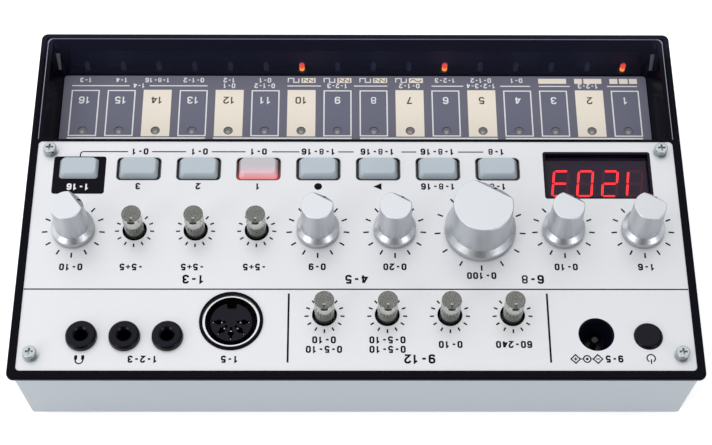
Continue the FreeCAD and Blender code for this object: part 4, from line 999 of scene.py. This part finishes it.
# The unlit bullets carry a faint grey painted glow, so that they show through the lens.
unlit_glow, unlit_body, lit_body = (0.009, 0.009, 0.0095), (0.22, 0.22, 0.24), (0.5, 0.05, 0.02)
light_tree.links.new(blend(light_tree, light_level, unlit_glow, lamp_core.outputs["Color"]),
                     light_shader.inputs["Emission Color"])
light_tree.links.new(blend(light_tree, lit_share, unlit_body, lit_body),
                     light_shader.inputs["Base Color"])
dress("step_leds", light_red)
dress("key_leds", moulded("key_window", (0.15, 0.14, 0.13), 0.2, mottle=0.3, mottle_scale=900))
window_dot = moulded("window_dot", (0.30, 0.29, 0.30), 0.3, mottle=0.2, mottle_scale=1500)
window_ring = moulded("window_ring", (0.115, 0.115, 0.155), 0.3, mottle=0.1, mottle_scale=900)
face_radius, dot_radius = 1.33, 0.62
dot_aside, dot_behind = 0.05, 0.4
dots, rings = bmesh.new(), bmesh.new()
light_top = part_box("key_leds")[1].z
for number, x in enumerate(keys, 1):
    if number not in filled_keys:
        flat_faces(rings, [spot(x, key_light_y, face_radius, count=28)],
                   light_top + 0.5 * ink_rise)
    flat_faces(dots, [spot(x + dot_aside, key_light_y + dot_behind, dot_radius, count=20)],
               light_top + ink_rise)
piece("key_light_dots", dots, window_dot, "case")
piece("key_light_faces", rings, window_ring, "case")


# Lens
# A smoked plastic bar let into the sloping front wall of the recess, over the
# row of lights. Each of its two ends carries a lighter, mottled face: a painted
# highlight where the ends catch the light.

dress("led_lens", smoked("lens_smoke", (0.11, 0.114, 0.21), clearness=0.92, roughness=0.06,
                         refraction=1.12))
lens_end_highlight = moulded("lens_end_highlight", (0.06, 0.065, 0.09), 0.3, mottle=0.6, mottle_scale=700)
end_face = ((92.65, -52.28, 29.1), (91.54, -54.0, 25.0), (90.75, -50.51, 22.08),
            (91.75, -48.02, 25.78))
end_strip = ((92.4, -52.0, 28.91), (91.55, -48.1, 25.87), (90.75, -48.1, 25.87),
             (91.15, -52.0, 28.91))
bm = bmesh.new()
for side in (1, -1):
    for corners in (end_face, end_strip):
        ring = [bm.verts.new((side * x * MM, y * MM, z * MM)) for x, y, z in corners]
        bm.faces.new(ring if side < 0 else ring[::-1])
piece("lens_end_highlights", bm, lens_end_highlight, "case")


# Boards, cells, speaker and feet
# What the case hides: two green boards with their parts, six cells with plated
# contacts, a small speaker over its grille, and four black rubber feet glued
# under the floor.

board_green = moulded("board_green", (0.012, 0.085, 0.035), 0.35, mottle=0.25,
                      mottle_scale=300)
for node in ("main_board", "touch_board"):
    dress(node, board_green)
for node in ("board_parts", "speaker_frame"):
    dress(node, part_black)
dress("speaker_cone", moulded("cone_paper", (0.03, 0.03, 0.03), 0.8, mottle=0.2,
                              mottle_scale=2000, skin_depth=0.03))
dress("battery_cells", moulded("cell_skin", (0.03, 0.035, 0.045), 0.25, mottle=0.1, coat=0.3))
dress("battery_contacts", screw_steel)
dress("rubber_feet", moulded("foot_rubber", (0.014, 0.014, 0.014), 0.75, mottle=0.2,
                             mottle_scale=900, skin_depth=0.03))
